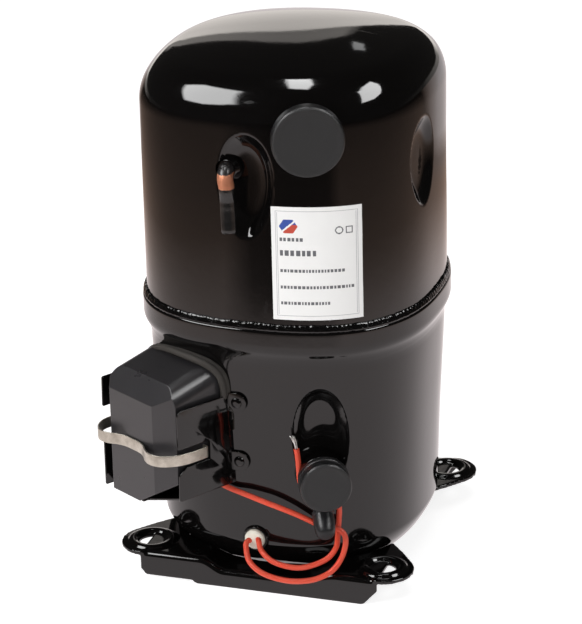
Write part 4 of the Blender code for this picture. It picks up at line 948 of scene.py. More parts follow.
m = radial(PROCESS_PHI, 110.5, PROCESS_Z)
o = turned("process_ferrule", rounded([(6.35, 3.2), (7.3, 3.2), (8.8, 0.6), (10.6, -2.4), (8.2, -3.0), (8.0, -6), (6.35, -6)], {1: 0.5, 2: 1.0, 3: 1.0}, 4),
           56, PAINT, matrix=m, closed=True)
put(o, "shell", "steel", "process_collar")
pts = [polar(100.0, PROCESS_PHI, PROCESS_Z), polar(106.0, PROCESS_PHI, PROCESS_Z), polar(113.8, PROCESS_PHI, PROCESS_Z)]
for i in range(1, 14):
    a = math.radians(90.0 * i / 14)
    pts.append(polar(113.8 + 8.2 * math.sin(a), PROCESS_PHI + 1.6 * i / 14, PROCESS_Z - 8.5 * (1 - math.cos(a))))
zs = [9.0, 11.0, 13.0, 15.0, 17.0, 19.0, 21.0, 23.0, 25.0, 27.0, 29.0, 31.0, 34.0, 37.0, 40.0, 43.0, 46.0, 49.0, 51.0, 52.4, 53.0]
zs = [9.0 + (d - 9.0) * 0.87 for d in zs]
for dz in zs:
    pts.append(polar(122.0, PROCESS_PHI + 1.6 + 0.6 * dz / 50.0, PROCESS_Z - dz))
n0 = len(pts) - len(zs)


def crimp(i, n):
    if i < n0:
        return 1.0, 1.0
    d = zs[i - n0]
    k = smoothstep(13.0, 23.0, d)
    w = 1.0 - 0.06 * k
    b = 1.0 - 0.50 * k
    if 28.0 < d < 39.0:
        b -= 0.05
    if d > 45.6:
        e = (d - 45.6) / 1.7
        w *= 1.0 - 0.12 * e
        b *= 1.0 - 0.45 * e
    return w, b


o = sweep("process_pipe", pts, ring(6.0, 36), PROCESS, scale=crimp, sharp=40.0)
put(o, "shell", "tube_copper", "process_tube")


# ------------------------------------------------------------------ base rails
def rail_height(x):
    """Top of the web along the rail, with eased bends."""
    if x < 0:
        return EAR_Z - 8.0 * smoothstep(-47.5, -28.5, x)
    return EAR_Z - 8.0 * (1.0 - smoothstep(29.0, 65.0, x))


def rail_low(x):
    return 2.5 * (1.0 - smoothstep(-54.5, -51.5, x))


def build_rail(name, sign, node):
    half = HOLE_PITCH / 2
    xs = [-97.0 + 194.0 * i / 130 for i in range(131)]
    verts, rows = [], []
    for x in xs:
        h, low = rail_height(x), rail_low(x)
        sec = []
        ro, ri = 4.6, 1.8
        yo = RAIL_Y
        sec.append((46.0, h))
        for k in range(9):
            a = math.radians(90.0 - 90.0 * k / 8)
            sec.append((yo - ro + ro * math.cos(a), h - ro + ro * math.sin(a)))
        end = 0.0
        if x < -93.0:
            end = (-93.0 - x) * 1.2
        if x > 86.0:
            end = (x - 86.0) * 1.1
        low2 = min(low + end, h - ro - 1.0)
        sec.append((yo, low2))
        sec.append((yo - RAIL_T, low2))
        for k in range(9):
            a = math.radians(90.0 * k / 8)
            sec.append((yo - RAIL_T - ri + ri * math.cos(a), h - RAIL_T - ri + ri * math.sin(a)))
        sec.append((46.0, h - RAIL_T))
        row = []
        for y, z in sec:
            row.append(len(verts))
            verts.append(Vector((x, sign * y, z)) * MM)
        rows.append(row)
    faces = []
    for a, b in zip(rows, rows[1:]):
        for j in range(len(a)):
            k = (j + 1) % len(a)
            faces.append((a[j], a[k], b[k], b[j]))
    faces.append(tuple(rows[0]))
    faces.append(tuple(rows[-1][::-1]))
    me = bpy.data.meshes.new("r")
    me.from_pydata([tuple(v) for v in verts], [], faces)
    fix_normals(me)
    bent = link("r", me)
    flat_m = Matrix.Translation((0, 0, (EAR_Z - RAIL_T / 2) * MM))
    keep = [(-97, 121), (97, 121)] + circle(24.5, 40, half, half, 75, -38) + [(104, 66), (92, 52), (70, 52)]
    keep += [(92.5 * math.cos(math.radians(a)), 92.5 * math.sin(math.radians(a))) for a in range(45, 136, 5)]
    keep += [(-70, 52), (-92, 52), (-104, 66)] + circle(24.5, 40, -half, half, 218, 105)
    keep = [(x, sign * y) for x, y in keep]
    k = plate("k", [keep], 60.0, Matrix.Translation((0, 0, 20 * MM)))
    boolean(bent, k, "INTERSECT")
    parts = [bent]
    for sx in (-1, 1):
        ear = [(sx * 94.0, 112.0), (sx * 94.0, 118.6), (sx * 97.0, 119.0)]
        arc = circle(24.5, 40, half, half, 75, -38)
        arc = [(sx * x, y) for x, y in arc]
        ear += arc + [(sx * 104, 66), (sx * 92, 52), (sx * 84, 52), (sx * 84.0, 100.0)]
        e = plate("e", [[(x, sign * y) for x, y in ear]], RAIL_T, flat_m)
        mt = Matrix.Translation((sx * half * MM, sign * half * MM, 0))
        boolean(e, rod("c", 14.0, 0, 40, 48, mt))
        parts.append(e)
        parts.append(turned("collar", rounded([(EAR_HOLE_R, EAR_Z - 3.4), (EAR_HOLE_R, EAR_Z - 0.8), (12.6, EAR_Z + 1.9), (14.0, EAR_Z + 2.6),
                                               (17.6, EAR_Z + 2.6), (19.8, EAR_Z + 0.4), (19.9, EAR_Z - 2.9)], {2: 1.0, 3: 1.4, 4: 1.6, 5: 1.6}, 4),
                            72, matrix=mt, closed=True))
    # everything is trimmed to the bowl before it is fused
    for p in parts:
        boolean(p, low_solid(0.3))
    whole = merge(name, parts, PAINT_SHEET)
    remesh(whole, 0.95, 3, 0.5)
    return put(whole, "shell", "black_paint", node)


build_rail("rail_front_skin", -1, "front_rail")
build_rail("rail_rear_skin", 1, "rear_rail")

# ------------------------------------------------------------------ terminal box
COVER_T0, COVER_T1, COVER_Z0, COVER_Z1, COVER_N, COVER_BACK = -43.0, 35.0, 74.5, 177.0, 162.0, 122.0
COVER_RISE = 0.23


def cut_plane(bm, co, no):
    res = bmesh.ops.bisect_plane(bm, geom=bm.verts[:] + bm.edges[:] + bm.faces[:],
                                 plane_co=Vector(co) * MM, plane_no=Vector(no).normalized(), clear_outer=True, dist=1e-7)
    edges = [e for e in res["geom_cut"] if isinstance(e, bmesh.types.BMEdge)]
    if edges:
        bmesh.ops.contextual_create(bm, geom=edges)


def cover_solid(name, off, back):
    bm = bmesh.new()
    bmesh.ops.create_cube(bm, size=1.0)
    lo = (COVER_T0 + off, back, COVER_Z0 + off)
    hi = (COVER_T1 - off, COVER_N - off, COVER_Z1 + 12.0 - off)
    for v in bm.verts:
        v.co = Vector([((lo[i] + hi[i]) * 0.5 + v.co[i] * (hi[i] - lo[i])) * MM for i in range(3)])

    def plane(p, q, axis):
        d = Vector(q) - Vector(p)
        no = d.cross(Vector(axis)).normalized()
        mid = (Vector(p) + Vector(q)) * 0.5
        centre = Vector(((COVER_T0 + COVER_T1) / 2, 140.0, 126.0))
        if (mid - centre).dot(no) < 0:
            no.negate()
        cut_plane(bm, mid - no * off, no)

    plane((0, 151, COVER_Z1), (0, COVER_N, 160.5), (1, 0, 0))
    plane((0, 151, COVER_Z1), (0, 118, COVER_Z1 + COVER_RISE * 33.0), (1, 0, 0))
    plane((15, COVER_N, 100), (COVER_T1, 154.5, 100), (0, 0, 1))
    plane((COVER_T0, 157.0, 100), (-38, COVER_N, 100), (0, 0, 1))
    plane((-5, 0, COVER_Z0), (COVER_T1, 0, 99.0), (0, 1, 0))
    for sx, t, r in ((1, COVER_T1, 15.0), (-1, COVER_T0, 11.0)):
        for i in range(10):
            a, b = 9.0 * i, 9.0 * (i + 1)
            pa = (t - sx * r * (1 - math.cos(math.radians(a))), 151, COVER_Z1 - r * (1 - math.sin(math.radians(a))))
            pb = (t - sx * r * (1 - math.cos(math.radians(b))), 151, COVER_Z1 - r * (1 - math.sin(math.radians(b))))
            plane(pa, pb, (0, -1, COVER_RISE))
    plane((COVER_T0, 0, 77.5), (COVER_T0 + 3, 0, COVER_Z0), (0, 1, 0))
    m = Matrix((BOX_TV, BOX_N, Vector((0, 0, 1)))).transposed().to_4x4()
    me = bpy.data.meshes.new(name)
    bm.to_mesh(me)
    bm.free()
    me.transform(m)
    fix_normals(me)
    return link(name, me)


cover = cover_solid("cover_skin", 0.0, 108.0)
cover.data.materials.append(PLASTIC)
soften(cover, 1.0, 3, 17.0)
boolean(cover, cover_solid("c", 2.4, 96.0))
boolean(cover, low_solid(1.2))
cover.data.shade_smooth()
cover.data.set_sharp_from_angle(angle=math.radians(40))
wn = cover.modifiers.new("wn", "WEIGHTED_NORMAL")
wn.keep_sharp = True
wn.weight = 50
apply_mods(cover)
put(cover, "cover", "cover_plastic", "terminal_cover")


def ear_frame(z):
    phi = -97.6
    m = radial(surface_normal_deg(phi), 0.0, 0.0)
    m.translation = polar(low_radius(z) * plan(math.radians(phi)) + 1.6, phi, z)
    return m


right = [(96, 161.5), (154.5, 161.5), (157, 159), (157, 130), (126, 130), (126, 114.0), (149, 114.0), (156.5, 109), (157, 87), (96, 87)]
left = [(92, 163.5), (158, 163.5), (158.5, 138.5), (128, 138.5), (128, 108.5), (158.5, 108.5), (158.5, 71.5), (92, 71.5)]
bottom = [(-53.4, 84), (-53.4, 150), (-12, 150), (-9, 157), (-6.5, 157), (-6.5, 84)]
ramp = [(-7.2, 71.6), (39.6, 87.6), (39.6, 89.2), (-7.2, 73.1)]
bits = [plate("f", [rounded(right + right[:1], 1.6, 4)[:-1]], 1.5, box_side(39.3), bevel=0.35),
        plate("f", [rounded(left + left[:1], 1.6, 4)[:-1]], 1.5, box_side(-52.8), bevel=0.35),
        plate("f", [bottom], 1.5, box_flat(72.3), bevel=0.35),
        plate("f", [ramp], 33.0, box_front(137.5), bevel=0.3)]
for z in (156.0, 106.0):
    a = ear_frame(z)
    e = plate("f", [[(-8.4, -7.5)] + circle(8.0, 28, 0, 0, -90, 90) + [(-8.4, 7.5)]], 1.5, a, bevel=0.3)
    boolean(e, rod("c", 2.6, -4, 4, 24, a))
    bits.append(e)
for b in bits:
    boolean(b, low_solid(0.35))
fence = merge("fence_skin", bits, PAINT_SHEET, 40.0)
fence.data.shade_smooth()
fence.data.set_sharp_from_angle(angle=math.radians(40))
put(fence, "shell", "black_paint", "terminal_fence")
for nm, z in (("fence_rivet_upper", 156.0), ("fence_rivet_lower", 106.0)):
    o = turned(nm + "_skin", rounded([(0, 2.7), (2.4, 2.6), (4.0, 1.7), (4.3, 1.05), (2.2, 1.05), (2.2, -0.9), (0, -0.9)], {1: 0.9, 2: 0.5}, 4),
               36, PAINT, matrix=ear_frame(z))
    put(o, "shell", "steel", nm)

# the strip follows the shell round the back of the cover
SEAL_LINE = ((-47.0, 112.0, 78.0), (-49.5, 112.5, 120.0), (-50.5, 113.0, 158.0), (-49.8, 113.5, 169.0), (-47.5, 114.3, 175.5),
             (-42.0, 115.5, 181.5), (-34.0, 117.0, 186.0), (-22.5, 119.0, 190.0), (-8.0, 121.0, 192.5), (8.0, 121.0, 193.0),
             (20.0, 118.5, 191.8), (28.3, 115.5, 189.4), (35.5, 112.0, 184.5), (39.9, 109.5, 177.8), (41.6, 108.0, 168.0),
             (41.0, 107.5, 160.0), (38.6, 107.0, 150.0), (38.2, 107.0, 112.0))
line = catmull([Vector((t, n, z)) for t, n, z in SEAL_LINE], 7)
path = []
for i, p in enumerate(line):
    d = line[min(i + 1, len(line) - 1)] - line[max(i - 1, 0)]
    inw = Vector((d.z, 0.0, -d.x)).normalized() * 3.2
    path.append(box_point(p.x + inw.x, p.y, p.z + inw.z))
sec = []
for i in range(40):
    a = 2 * math.pi * i / 40
    b = 4.9 * math.cos(a)
    sec.append((2.9 * math.copysign(abs(math.sin(a)) ** 0.8, math.sin(a)) * (1.0 - 0.30 * math.exp(-(b / 1.1) ** 2)), b))
seal = sweep("seal_skin", path, sec, SEAL, up=tuple(BOX_N), sharp=60.0)
boolean(seal, low_solid(0.3))
seal.data.shade_smooth()
seal.data.set_sharp_from_angle(angle=math.radians(60))
put(seal, "shell", "seal_cream", "terminal_seal")

BAIL = [(-47.5, 131.0), (-54.9, 131.0), (-55.6, 134.0), (-55.6, 147.0), (-54.6, 157.0), (-49.5, 165.5), (-43.0, 170.2),
        (-37.0, 171.0), (-31.0, 169.3), (-25.0, 165.8), (-18.0, 163.6), (-9.0, 163.2), (1.0, 163.6), (8.0, 166.0),
        (14.0, 169.4), (21.0, 171.5), (28.0, 170.5), (34.0, 166.5), (39.0, 159.0), (41.8, 149.0), (42.2, 134.0), (41.4, 130.0), (36.6, 130.0)]
line = catmull([Vector((t, n, 0)) for t, n in BAIL], 6)
path = [box_point(p.x, p.y, 122.0) for p in line]
sec = rounded([(4.5, -0.5), (4.5, 0.5), (-4.5, 0.5), (-4.5, -0.5), (4.5, -0.5)], 0.3, 3)
o = sweep("bail_skin", path, [(b, a) for a, b in sec[:-1]], TINNED, up=(0, 0, 1), sharp=45.0)
put(o, "bail", "strap_steel", "bail_strap")

# ------------------------------------------------------------------ heater, leads, label
m = radial(HEATER_PHI, 103.6, HEATER_Z)
o = turned("well_skin", rounded([(0, -60.5), (8.3, -60.5), (8.3, 5.0), (9.4, 5.4), (10.4, 4.2), (11.0, 0.5), (9.9, -0.5), (9.6, -62), (0, -62)],
                                {2: 0.4, 3: 0.5, 4: 0.8, 5: 0.8}, 4), 64, PAINT, matrix=m)
put(o, "shell", "steel", "heater_well")
o = turned("heater_plug_skin", rounded([(0, 8.6), (6.2, 8.4), (8.1, 7.0), (8.1, -5.5), (0, -5.5)], {1: 1.2, 2: 1.6}, 5), 64, CREAM,
           matrix=m)
o.data.transform(Matrix.Identity(4))
put(o, "shell", "seal_cream", "heater_seal")

LEAD_TERMINAL = ((110.1, -93.7, 40.0), (114.8, -94.6, 39.4), (118, -94.3, 36.2), (125, -92.0, 29.5), (130, -88.2, 24.6),
                 (132, -83.6, 20.9), (134, -77.7, 18.9), (135, -72.4, 19.0), (135, -67.5, 20.9), (134, -62.7, 26.0),
                 (132, -59.4, 34.3), (130, -57.6, 44.2), (127.5, -57.4, 51.5), (124, -59.0, 55.8), (120, -62.0, 56.8),
                 (117.6, -65.2, 57.0), (117.4, -69.6, 62.5), (117.6, -76.8, 70.0), (117.2, -84.9, 76.0), (115.2, -94.1, 80.5),
                 (113.6, -101.0, 82.5), (115.6, -106.0, 86.5), (120.0, -110.5, 95.0), (124.0, -113.5, 103.0))
LEAD_BARE = ((110.1, -90.7, 41.6), (114.8, -89.6, 41.0), (118, -88.2, 35.5), (123, -84.2, 30.6), (126, -79.3, 27.9),
             (127.6, -73.7, 26.9), (127.6, -68.5, 29.1), (127, -63.5, 33.8), (125, -60.4, 41.0), (120.5, -59.2, 47.5),
             (116.6, -58.4, 54.0), (115.6, -58.0, 61.0), (116.2, -57.9, 69.0), (117.4, -58.8, 77.0), (117.8, -63.2, 83.2),
             (117.8, -69.0, 86.2), (118.4, -72.4, 94.0), (118.8, -73.0, 104.0), (118.4, -73.3, 115.0), (119, -74.1, 127.2),
             (119.5, -75.1, 134.7))
o = sweep("lead_terminal_skin", catmull([polar(*p) for p in LEAD_TERMINAL], 9), ring(2.2, 20), SILICONE, sharp=60.0)
put(o, "shell", "lead_silicone", "lead_terminal")
line = catmull([polar(*p) for p in LEAD_BARE], 9)
cut_at = len(line) - 12
o = sweep("lead_bare_skin", line[:cut_at], ring(2.2, 20), SILICONE, sharp=60.0)
put(o, "shell", "lead_silicone", "lead_bare_end")
rnd = random.Random(5)
strands = []
core = line[cut_at - 4:]
for i in range(9):
    a0, spread = rnd.uniform(0, 6.28), rnd.uniform(0.2, 1.0)
    pth = []
    for k, p in enumerate(core):
        t = k / (len(core) - 1)
        r = 0.75 + spread * 1.6 * t * t
        ang = a0 + 1.6 * t
        pth.append(p + Vector((math.cos(ang) * r, math.sin(ang) * r * 0.6, -rnd.uniform(0.0, 0.2))) * MM)
    strands.append(sweep("st", pth, ring(0.32, 6), STRAND, sharp=60.0))
o = merge("lead_strands", strands, STRAND, 60.0)
put(o, "shell", "steel", "lead_bare_end")

FILM = make_film("label_film", (0.86, 0.85, 0.84))
INK = make_film("label_ink_grey", (0.13, 0.13, 0.14), 0.4)
INK_SOFT = make_film("label_ink_pale", (0.42, 0.42, 0.43), 0.4)
INK_BLUE = make_film("label_ink_blue", (0.035, 0.08, 0.36), 0.4)
INK_WARM = make_film("label_ink_warm", (0.55, 0.07, 0.04), 0.4)
LW, LH = 67.8, 90.4
rnd = random.Random(11)


def words(x0, x1, z, h, lo, hi, gap, ink):
    out, x = [], x0
    while x < x1 - lo:
        w = min(rnd.uniform(lo, hi), x1 - x)
        out.append((x, z, x + w, z + h, ink))
        x += w + gap
    return out


marks = []
for d, t in ((3.2, 0.35), (4.3, 0.3)):
    marks += [(d, d, LW - d, d + t, 2), (d, LH - d - t, LW - d, LH - d, 2), (d, d, d + t, LH - d, 2), (LW - d - t, d, LW - d, LH - d, 2)]
marks += words(6.2, 25.0, 63.2, 2.6, 1.6, 2.6, 0.9, 1)
marks += words(6.2, 36.0, 51.6, 4.4, 2.4, 3.4, 1.3, 1)
marks += words(6.2, 55.0, 38.4, 2.2, 1.2, 2.4, 0.8, 1)
marks += words(6.2, 61.0, 25.4, 2.2, 1.2, 2.4, 0.8, 1)
marks += words(6.2, 44.0, 12.6, 2.2, 1.2, 2.4, 0.8, 1)


def label_ink(x, z):
    # a plain hexagon split in two colours, top left
    cx, cz = 13.2, 75.0
    dx, dz = (x - cx) / 6.6, (z - cz) / 5.6
    if max(abs(dz), abs(dx) * 0.87 + abs(dz) * 0.5) < 0.95:
        if abs(dx - dz) < 0.16:
            return 0
        return 3 if dx < dz or dz > 0.25 else 4
    # a plain ring and a plain square, top right
    q = math.hypot(x - 50.6, z - 71.6)
    if 2.2 < q < 3.1:
        return 1
    q = max(abs(x - 58.0), abs(z - 71.6))
    if 1.9 < q < 2.7:
        return 1
    for x0, z0, x1, z1, ink in marks:
        if x0 <= x <= x1 and z0 <= z <= z1:
            return ink
    return 0


NX, NZ = 170, 226
verts, faces, inks = [], [], []
for k in range(NZ + 1):
    for i in range(NX + 1):
        u, v = i / NX - 0.5, k / NZ - 0.5
        deg = -64.9 + u * 32.8
        lift = 0.18 * smoothstep(0.42, 0.5, abs(u)) * (0.5 + noise.noise(Vector((u * 3, v * 6, 1.0))))
        r = R_UP * plan(math.radians(deg)) + 0.62 + lift + 0.05 * noise.noise(Vector((u * 9, v * 9, 0.0)))
        verts.append(tuple(polar(r, deg, 274.6 + v * LH)))
for k in range(NZ):
    for i in range(NX):
        a = k * (NX + 1) + i
        faces.append((a, a + 1, a + NX + 2, a + NX + 1))
        inks.append(label_ink((i + 0.5) / NX * LW, (k + 0.5) / NZ * LH))
me = bpy.data.meshes.new("label_sheet")
me.from_pydata(verts, [], faces)
o = bpy.data.objects.new("label_sheet", me)
COL.objects.link(o)
for mt in (FILM, INK, INK_SOFT, INK_BLUE, INK_WARM):
    me.materials.append(mt)
me.polygons.foreach_set("material_index", inks)
sol = o.modifiers.new("s", "SOLIDIFY")
sol.thickness = 0.30 * MM
sol.offset = -1.0
apply_mods(o)
o.data.shade_smooth()
o.data.set_sharp_from_angle(angle=math.radians(50))
put(o, "shell", "label_film", "nameplate")

# ------------------------------------------------------------------ inside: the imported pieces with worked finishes
INSIDE = {
    "crankshaft": STEEL, "drive_bush": BRONZE, "oil_pickup": STEEL_DARK, "rotor": LAMINATE, "upper_counterweight": BRONZE,
    "lower_counterweight": BRONZE, "orbiting_scroll": ALLOY, "oldham_ring": ALLOY, "fixed_scroll": IRON, "thrust_plate": BRONZE,
    "main_frame": IRON, "main_bearing": BRONZE, "lower_bearing": BRONZE, "lower_bearing_frame": IRON, "stator_core": LAMINATE,
    "stator_windings": WINDING, "discharge_valve": STEEL, "valve_retainer": STEEL, "discharge_muffler": STEEL_DARK,
    "suction_tube": COPPER, "motor_leads": SILICONE, "terminal_body": STEEL, "terminal_block": PHENOLIC, "heater_element": STEEL_DARK,
}
for nm, ob in frame["nodes"].items():
    mt = INSIDE.get(nm)
    if mt is None and nm.startswith(("scroll_bolt", "stator_bolt")):
        mt = STEEL_DARK
    if mt is None and nm.startswith("terminal_pin"):
        mt = COPPER
    if mt is None:
        continue
    ob.data.materials.clear()
    ob.data.materials.append(mt)
    bv = ob.modifiers.new("edge", "BEVEL")
    bv.width = 0.25 * MM
    bv.segments = 2
    bv.limit_method = "ANGLE"
    bv.angle_limit = math.radians(40)


# ------------------------------------------------------------------ studio
def emission(name, colour, power):
    mm = bpy.data.materials.new(name)
    mm.use_nodes = True
    nt = mm.node_tree
    nt.nodes.clear()
    e = nt.nodes.new("ShaderNodeEmission")
    e.inputs["Color"].default_value = (*colour, 1)
    e.inputs["Strength"].default_value = power
    out = nt.nodes.new("ShaderNodeOutputMaterial")
    nt.links.new(e.outputs[0], out.inputs[0])
    return mm


def direction(az, el):
    a, e = math.radians(az), math.radians(el)
    return Vector((math.sin(a) * math.cos(e), -math.cos(a) * math.cos(e), math.sin(e)))


def card(name, corners, power, colour=(1, 1, 1), dist=1.9, centre=(0, 0, 0.36), rim=0.25, core=0.86):
    """Light card through (azimuth, elevation) corners seen from the object, dimmer at its rim; hidden from the camera."""
    outer = [Vector(centre) + direction(a, e) * dist for a, e in corners]
    mid = sum(outer, Vector()) / len(outer)
    inner = [mid + (v - mid) * core for v in outer]
    n = len(outer)
    vs = [mid] + inner + outer
    fs = []
    for i in range(n):
        k = (i + 1) % n
        fs.append((0, 1 + i, 1 + k))
        fs.append((1 + i, 1 + n + i, 1 + n + k, 1 + k))
    me = bpy.data.meshes.new(name)
    me.from_pydata([tuple(v) for v in vs], [], fs)
    glow = me.attributes.new("glow", "FLOAT", "POINT")
    glow.data.foreach_set("value", [1.0] * (n + 1) + [rim] * n)
    o = bpy.data.objects.new(name, me)
    COL.objects.link(o)
    mm = emission(name, colour, power)
    at = mm.node_tree.nodes.new("ShaderNodeAttribute")
    at.attribute_name = "glow"
    mul = mm.node_tree.nodes.new("ShaderNodeMath")
    mul.operation = "MULTIPLY"
    mul.inputs[1].default_value = power
    mm.node_tree.links.new(at.outputs["Fac"], mul.inputs[0])
    em = [x for x in mm.node_tree.nodes if x.type == "EMISSION"][0]
    mm.node_tree.links.new(mul.outputs[0], em.inputs["Strength"])
    me.materials.append(mm)
    o.visible_camera = False
    o.visible_shadow = False
    o.visible_diffuse = False
    return o


world = bpy.data.worlds.new("studio")
bpy.context.scene.world = world
world.use_nodes = True
nt = world.node_tree
nt.nodes.clear()
out = nt.nodes.new("ShaderNodeOutputWorld")
bg = nt.nodes.new("ShaderNodeBackground")
nt.links.new(bg.outputs[0], out.inputs[0])
lp = nt.nodes.new("ShaderNodeLightPath")
geo = nt.nodes.new("ShaderNodeTexCoord")


def node(kind, **kw):
    n = nt.nodes.new(kind)
    for k, v in kw.items():
        setattr(n, k, v)
    return n


def op(kind, a, b=None, c=None):
    n = node("ShaderNodeMath", operation=kind)
    for i, v in enumerate((a, b, c)):
        if v is None:
            continue
        if isinstance(v, (int, float)):
            n.inputs[i].default_value = v
        else:
            nt.links.new(v, n.inputs[i])
    return n.outputs[0]


def ramp_node(src, stops):
    n = node("ShaderNodeValToRGB")
    cr = n.color_ramp
    while len(cr.elements) > 1:
        cr.elements.remove(cr.elements[-1])
    cr.elements[0].position = stops[0][0]
    cr.elements[0].color = (stops[0][1],) * 3 + (1,)
    for p, v in stops[1:]:
        e = cr.elements.new(p)
        e.color = (v,) * 3 + (1,)
    nt.links.new(src, n.inputs[0])
    return n.outputs[0]


sep = node("ShaderNodeSeparateXYZ")
nt.links.new(geo.outputs["Generated"], sep.inputs[0])
# rel = 1 straight behind the object, seen from the camera's side
def toward(az):
    d = node("ShaderNodeVectorMath", operation="DOT_PRODUCT")
    nt.links.new(geo.outputs["Generated"], d.inputs[0])
    d.inputs[1].default_value = tuple(direction(az, 0.0))
    return op("DIVIDE", d.outputs["Value"], flat_len)


flat_len = op("SQRT", op("SUBTRACT", 1.0001, op("MULTIPLY", sep.outputs[2], sep.outputs[2])))
rel = toward(-161.0)
sidew = toward(-71.0)
# upper edge of the pale backdrop: about 20 degrees straight behind, sinking to either side
top_el = op("MAXIMUM", 0.03, op("SUBTRACT", 0.345, op("MULTIPLY", op("SUBTRACT", 1.0, rel), 19.0)))
over = op("SUBTRACT", sep.outputs[2], top_el)
pos = op("ADD", over, 0.5)
backdrop = ramp_node(pos, [(0.0, 1.15), (0.36, 1.4), (0.480, 1.75), (0.494, 1.1), (0.502, 0.0)])
band = ramp_node(pos, [(0.0, 0.0), (0.494, 0.0), (0.502, 0.42), (0.56, 0.55), (0.612, 0.60), (0.630, 0.0)])
band_side = ramp_node(op("ADD", sidew, 0.5), [(0.0, 0.0), (0.395, 0.0), (0.415, 1.0), (0.68, 1.0), (0.74, 0.0)])
mask = ramp_node(rel, [(0.0, 0.0), (0.6, 0.03), (0.88, 0.35), (0.94, 1.0)])
behind = ramp_node(rel, [(0.0, 0.0), (0.05, 1.0)])
glossy = op("ADD", op("MULTIPLY", op("ADD", op("MULTIPLY", backdrop, mask), op("MULTIPLY", band, band_side)), behind), 0.028)
# soft fill: stronger from low down than from overhead
diffuse = ramp_node(op("ADD", op("MULTIPLY", sep.outputs[2], 0.5), 0.5), [(0.0, 0.5), (0.5, 0.62), (0.7, 0.30), (1.0, 0.16)])
val = op("ADD", op("MULTIPLY", lp.outputs["Is Glossy Ray"], glossy),
         op("MULTIPLY", op("SUBTRACT", 1.0, lp.outputs["Is Glossy Ray"]), diffuse))
val = op("ADD", lp.outputs["Is Camera Ray"], op("MULTIPLY", op("SUBTRACT", 1.0, lp.outputs["Is Camera Ray"]), val))
comb = node("ShaderNodeCombineColor")
warm = op("SUBTRACT", 1.0, op("MULTIPLY", op("MULTIPLY", lp.outputs["Is Glossy Ray"], op("SUBTRACT", 1.0, lp.outputs["Is Camera Ray"])), 0.06))
nt.links.new(val, comb.inputs[0])
nt.links.new(op("MULTIPLY", val, warm), comb.inputs[1])
nt.links.new(op("MULTIPLY", op("MULTIPLY", val, warm), warm), comb.inputs[2])
nt.links.new(comb.outputs[0], bg.inputs["Color"])
bg.inputs["Strength"].default_value = 1.0

# soft boxes, placed by where their reflections lie on the dome
card("softbox_left", [(-89, 43.8), (-60, 25.3), (-42, 25.8), (-32, 29), (-26, 34), (-42, 58.6), (-63, 58.2), (-82, 54.6)], 11.0)
card("softbox_back", [(-145, 66.6), (-163, 67.5), (180, 86.0), (9, 79.0), (-32, 76.3)], 13.0, core=0.8)
card("softbox_right", [(128, 58.4), (117, 48.2), (98, 35.2), (84, 31.4), (67, 31.6), (87, 60.5)], 12.0, core=0.9)
card("window_far", [(-169, 27.4), (-171, 27.9), (-172, 31.6), (-170, 32.2)], 1.3)

# pale floor, dark beyond the object for mirror rays
me = bpy.data.meshes.new("floor")
S = 6.0
me.from_pydata([(-S, -S, 0), (S, -S, 0), (S, S, 0), (-S, S, 0)], [], [(0, 1, 2, 3)])
floor = bpy.data.objects.new("floor", me)
COL.objects.link(floor)
fm = bpy.data.materials.new("floor")
fm.use_nodes = True
nt = fm.node_tree
nt.nodes.clear()
out = node("ShaderNodeOutputMaterial")
lp = node("ShaderNodeLightPath")
pale = node("ShaderNodeBsdfDiffuse")
pale.inputs["Color"].default_value = (0.90, 0.90, 0.895, 1)
lift = node("ShaderNodeEmission")
lift.inputs["Color"].default_value = (1, 1, 1, 1)
nt.links.new(op("ADD", op("MULTIPLY", lp.outputs["Is Camera Ray"], 0.42), 0.35), lift.inputs["Strength"])
seen = node("ShaderNodeAddShader")
nt.links.new(pale.outputs[0], seen.inputs[0])
nt.links.new(lift.outputs[0], seen.inputs[1])
g = node("ShaderNodeNewGeometry")
ln = node("ShaderNodeVectorMath", operation="LENGTH")
nt.links.new(g.outputs["Position"], ln.inputs[0])
fall = ramp_node(op("MULTIPLY", ln.outputs["Value"], 0.25), [(0.0, 1.0), (0.135, 1.1), (0.165, 1.05), (0.195, 0.70), (0.22, 0.46), (0.26, 0.33), (0.33, 0.20),
                                                              (0.45, 0.11), (0.75, 0.04), (1.0, 0.02)])
nrm = node("ShaderNodeVectorMath", operation="NORMALIZE")
nt.links.new(g.outputs["Position"], nrm.inputs[0])
fd = node("ShaderNodeVectorMath", operation="DOT_PRODUCT")
nt.links.new(nrm.outputs[0], fd.inputs[0])
fd.inputs[1].default_value = tuple(direction(6.0, 0.0))
shade = op("MULTIPLY", ramp_node(fd.outputs["Value"], [(0.0, 0.0), (0.84, 0.0), (0.93, 0.82), (1.0, 0.88)]),
           ramp_node(op("MULTIPLY", ln.outputs["Value"], 0.5), [(0.0, 0.0), (0.30, 0.0), (0.38, 1.0)]))
fall = op("MULTIPLY", fall, op("SUBTRACT", 1.0, shade))
behind = op("MULTIPLY", ramp_node(op("MULTIPLY", fd.outputs["Value"], -1.0), [(0.0, 0.0), (0.70, 0.0), (0.90, 1.0)]),
            ramp_node(op("MULTIPLY", ln.outputs["Value"], 0.5), [(0.0, 0.0), (0.46, 0.0), (0.54, 0.8), (1.0, 0.95)]))
fall = op("MAXIMUM", fall, behind)
far = ramp_node(op("MULTIPLY", ln.outputs["Value"], 0.5), [(0.0, 0.0), (0.30, 0.15), (0.45, 1.0), (1.0, 1.0)])
tint = node("ShaderNodeMix", data_type="RGBA")
nt.links.new(op("MULTIPLY", far, op("SUBTRACT", 1.0, behind)), tint.inputs[0])
tint.inputs[6].default_value = (1.0, 0.93, 0.94, 1)
tint.inputs[7].default_value = (1.0, 0.70, 0.56, 1)
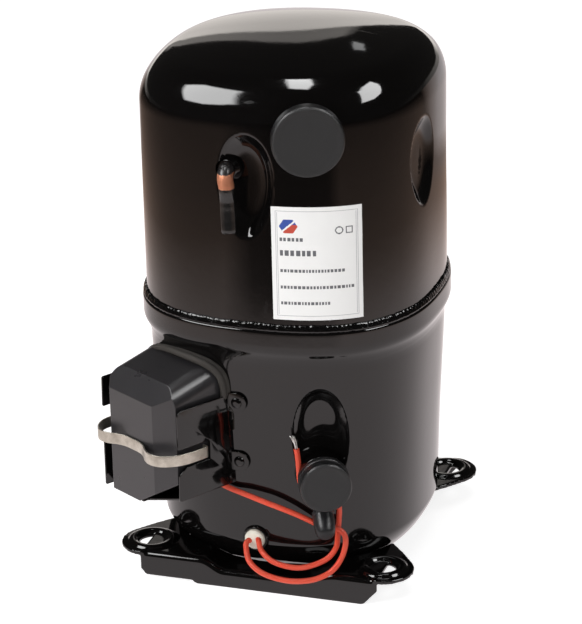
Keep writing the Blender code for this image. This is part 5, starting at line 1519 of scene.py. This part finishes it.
mirror = node("ShaderNodeEmission")
nt.links.new(tint.outputs[2], mirror.inputs["Color"])
nt.links.new(fall, mirror.inputs["Strength"])
mixs = node("ShaderNodeMixShader")
nt.links.new(lp.outputs["Is Glossy Ray"], mixs.inputs[0])
nt.links.new(seen.outputs[0], mixs.inputs[1])
nt.links.new(mirror.outputs[0], mixs.inputs[2])
nt.links.new(mixs.outputs[0], out.inputs[0])
me.materials.append(fm)
floor.location.z = -0.0002


def area(name, az, el, dist, size, power, target=(0, 0, 0.2), spec=1.0):
    ld = bpy.data.lights.new(name, "AREA")
    ld.energy = power
    ld.size = size
    ld.specular_factor = spec
    o = bpy.data.objects.new(name, ld)
    COL.objects.link(o)
    o.location = Vector(target) + direction(az, el) * dist
    o.rotation_mode = "QUATERNION"
    o.rotation_quaternion = (Vector(target) - o.location).to_track_quat("-Z", "Y")
    o.visible_camera = False
    o.visible_glossy = spec > 0
    return o


area("key_left", -42, 16, 2.2, 0.9, 24.0, spec=0.0)
area("fill_front", 30, 14, 2.6, 1.2, 12.0, spec=0.0)
area("top", 0, 88, 2.0, 1.4, 7.0, spec=0.0)

# ------------------------------------------------------------------ camera
AZ, EL, ROLL, DIST = 18.25, 21.02, 1.31, 2.420
cam_data = bpy.data.cameras.new("view")
cam = bpy.data.objects.new("view", cam_data)
COL.objects.link(cam)
target = Vector((0, 0, 0.217))
cam.location = target + direction(AZ, EL) * DIST
cam.rotation_mode = "QUATERNION"
q = (target - cam.location).to_track_quat("-Z", "Y")
cam.rotation_quaternion = q @ Matrix.Rotation(math.radians(-ROLL), 3, "Z").to_quaternion()
cam_data.sensor_width = 36.0
cam_data.sensor_fit = "AUTO"
cam_data.lens = 176.5
cam_data.shift_x = -0.0113
cam_data.shift_y = -0.0521
cam_data.clip_start, cam_data.clip_end = 0.1, 30.0
bpy.context.scene.camera = cam

sc = bpy.context.scene
sc.view_settings.view_transform = "Standard"
sc.view_settings.look = "None"
sc.view_settings.exposure = 0.0
sc.view_settings.gamma = 1.0
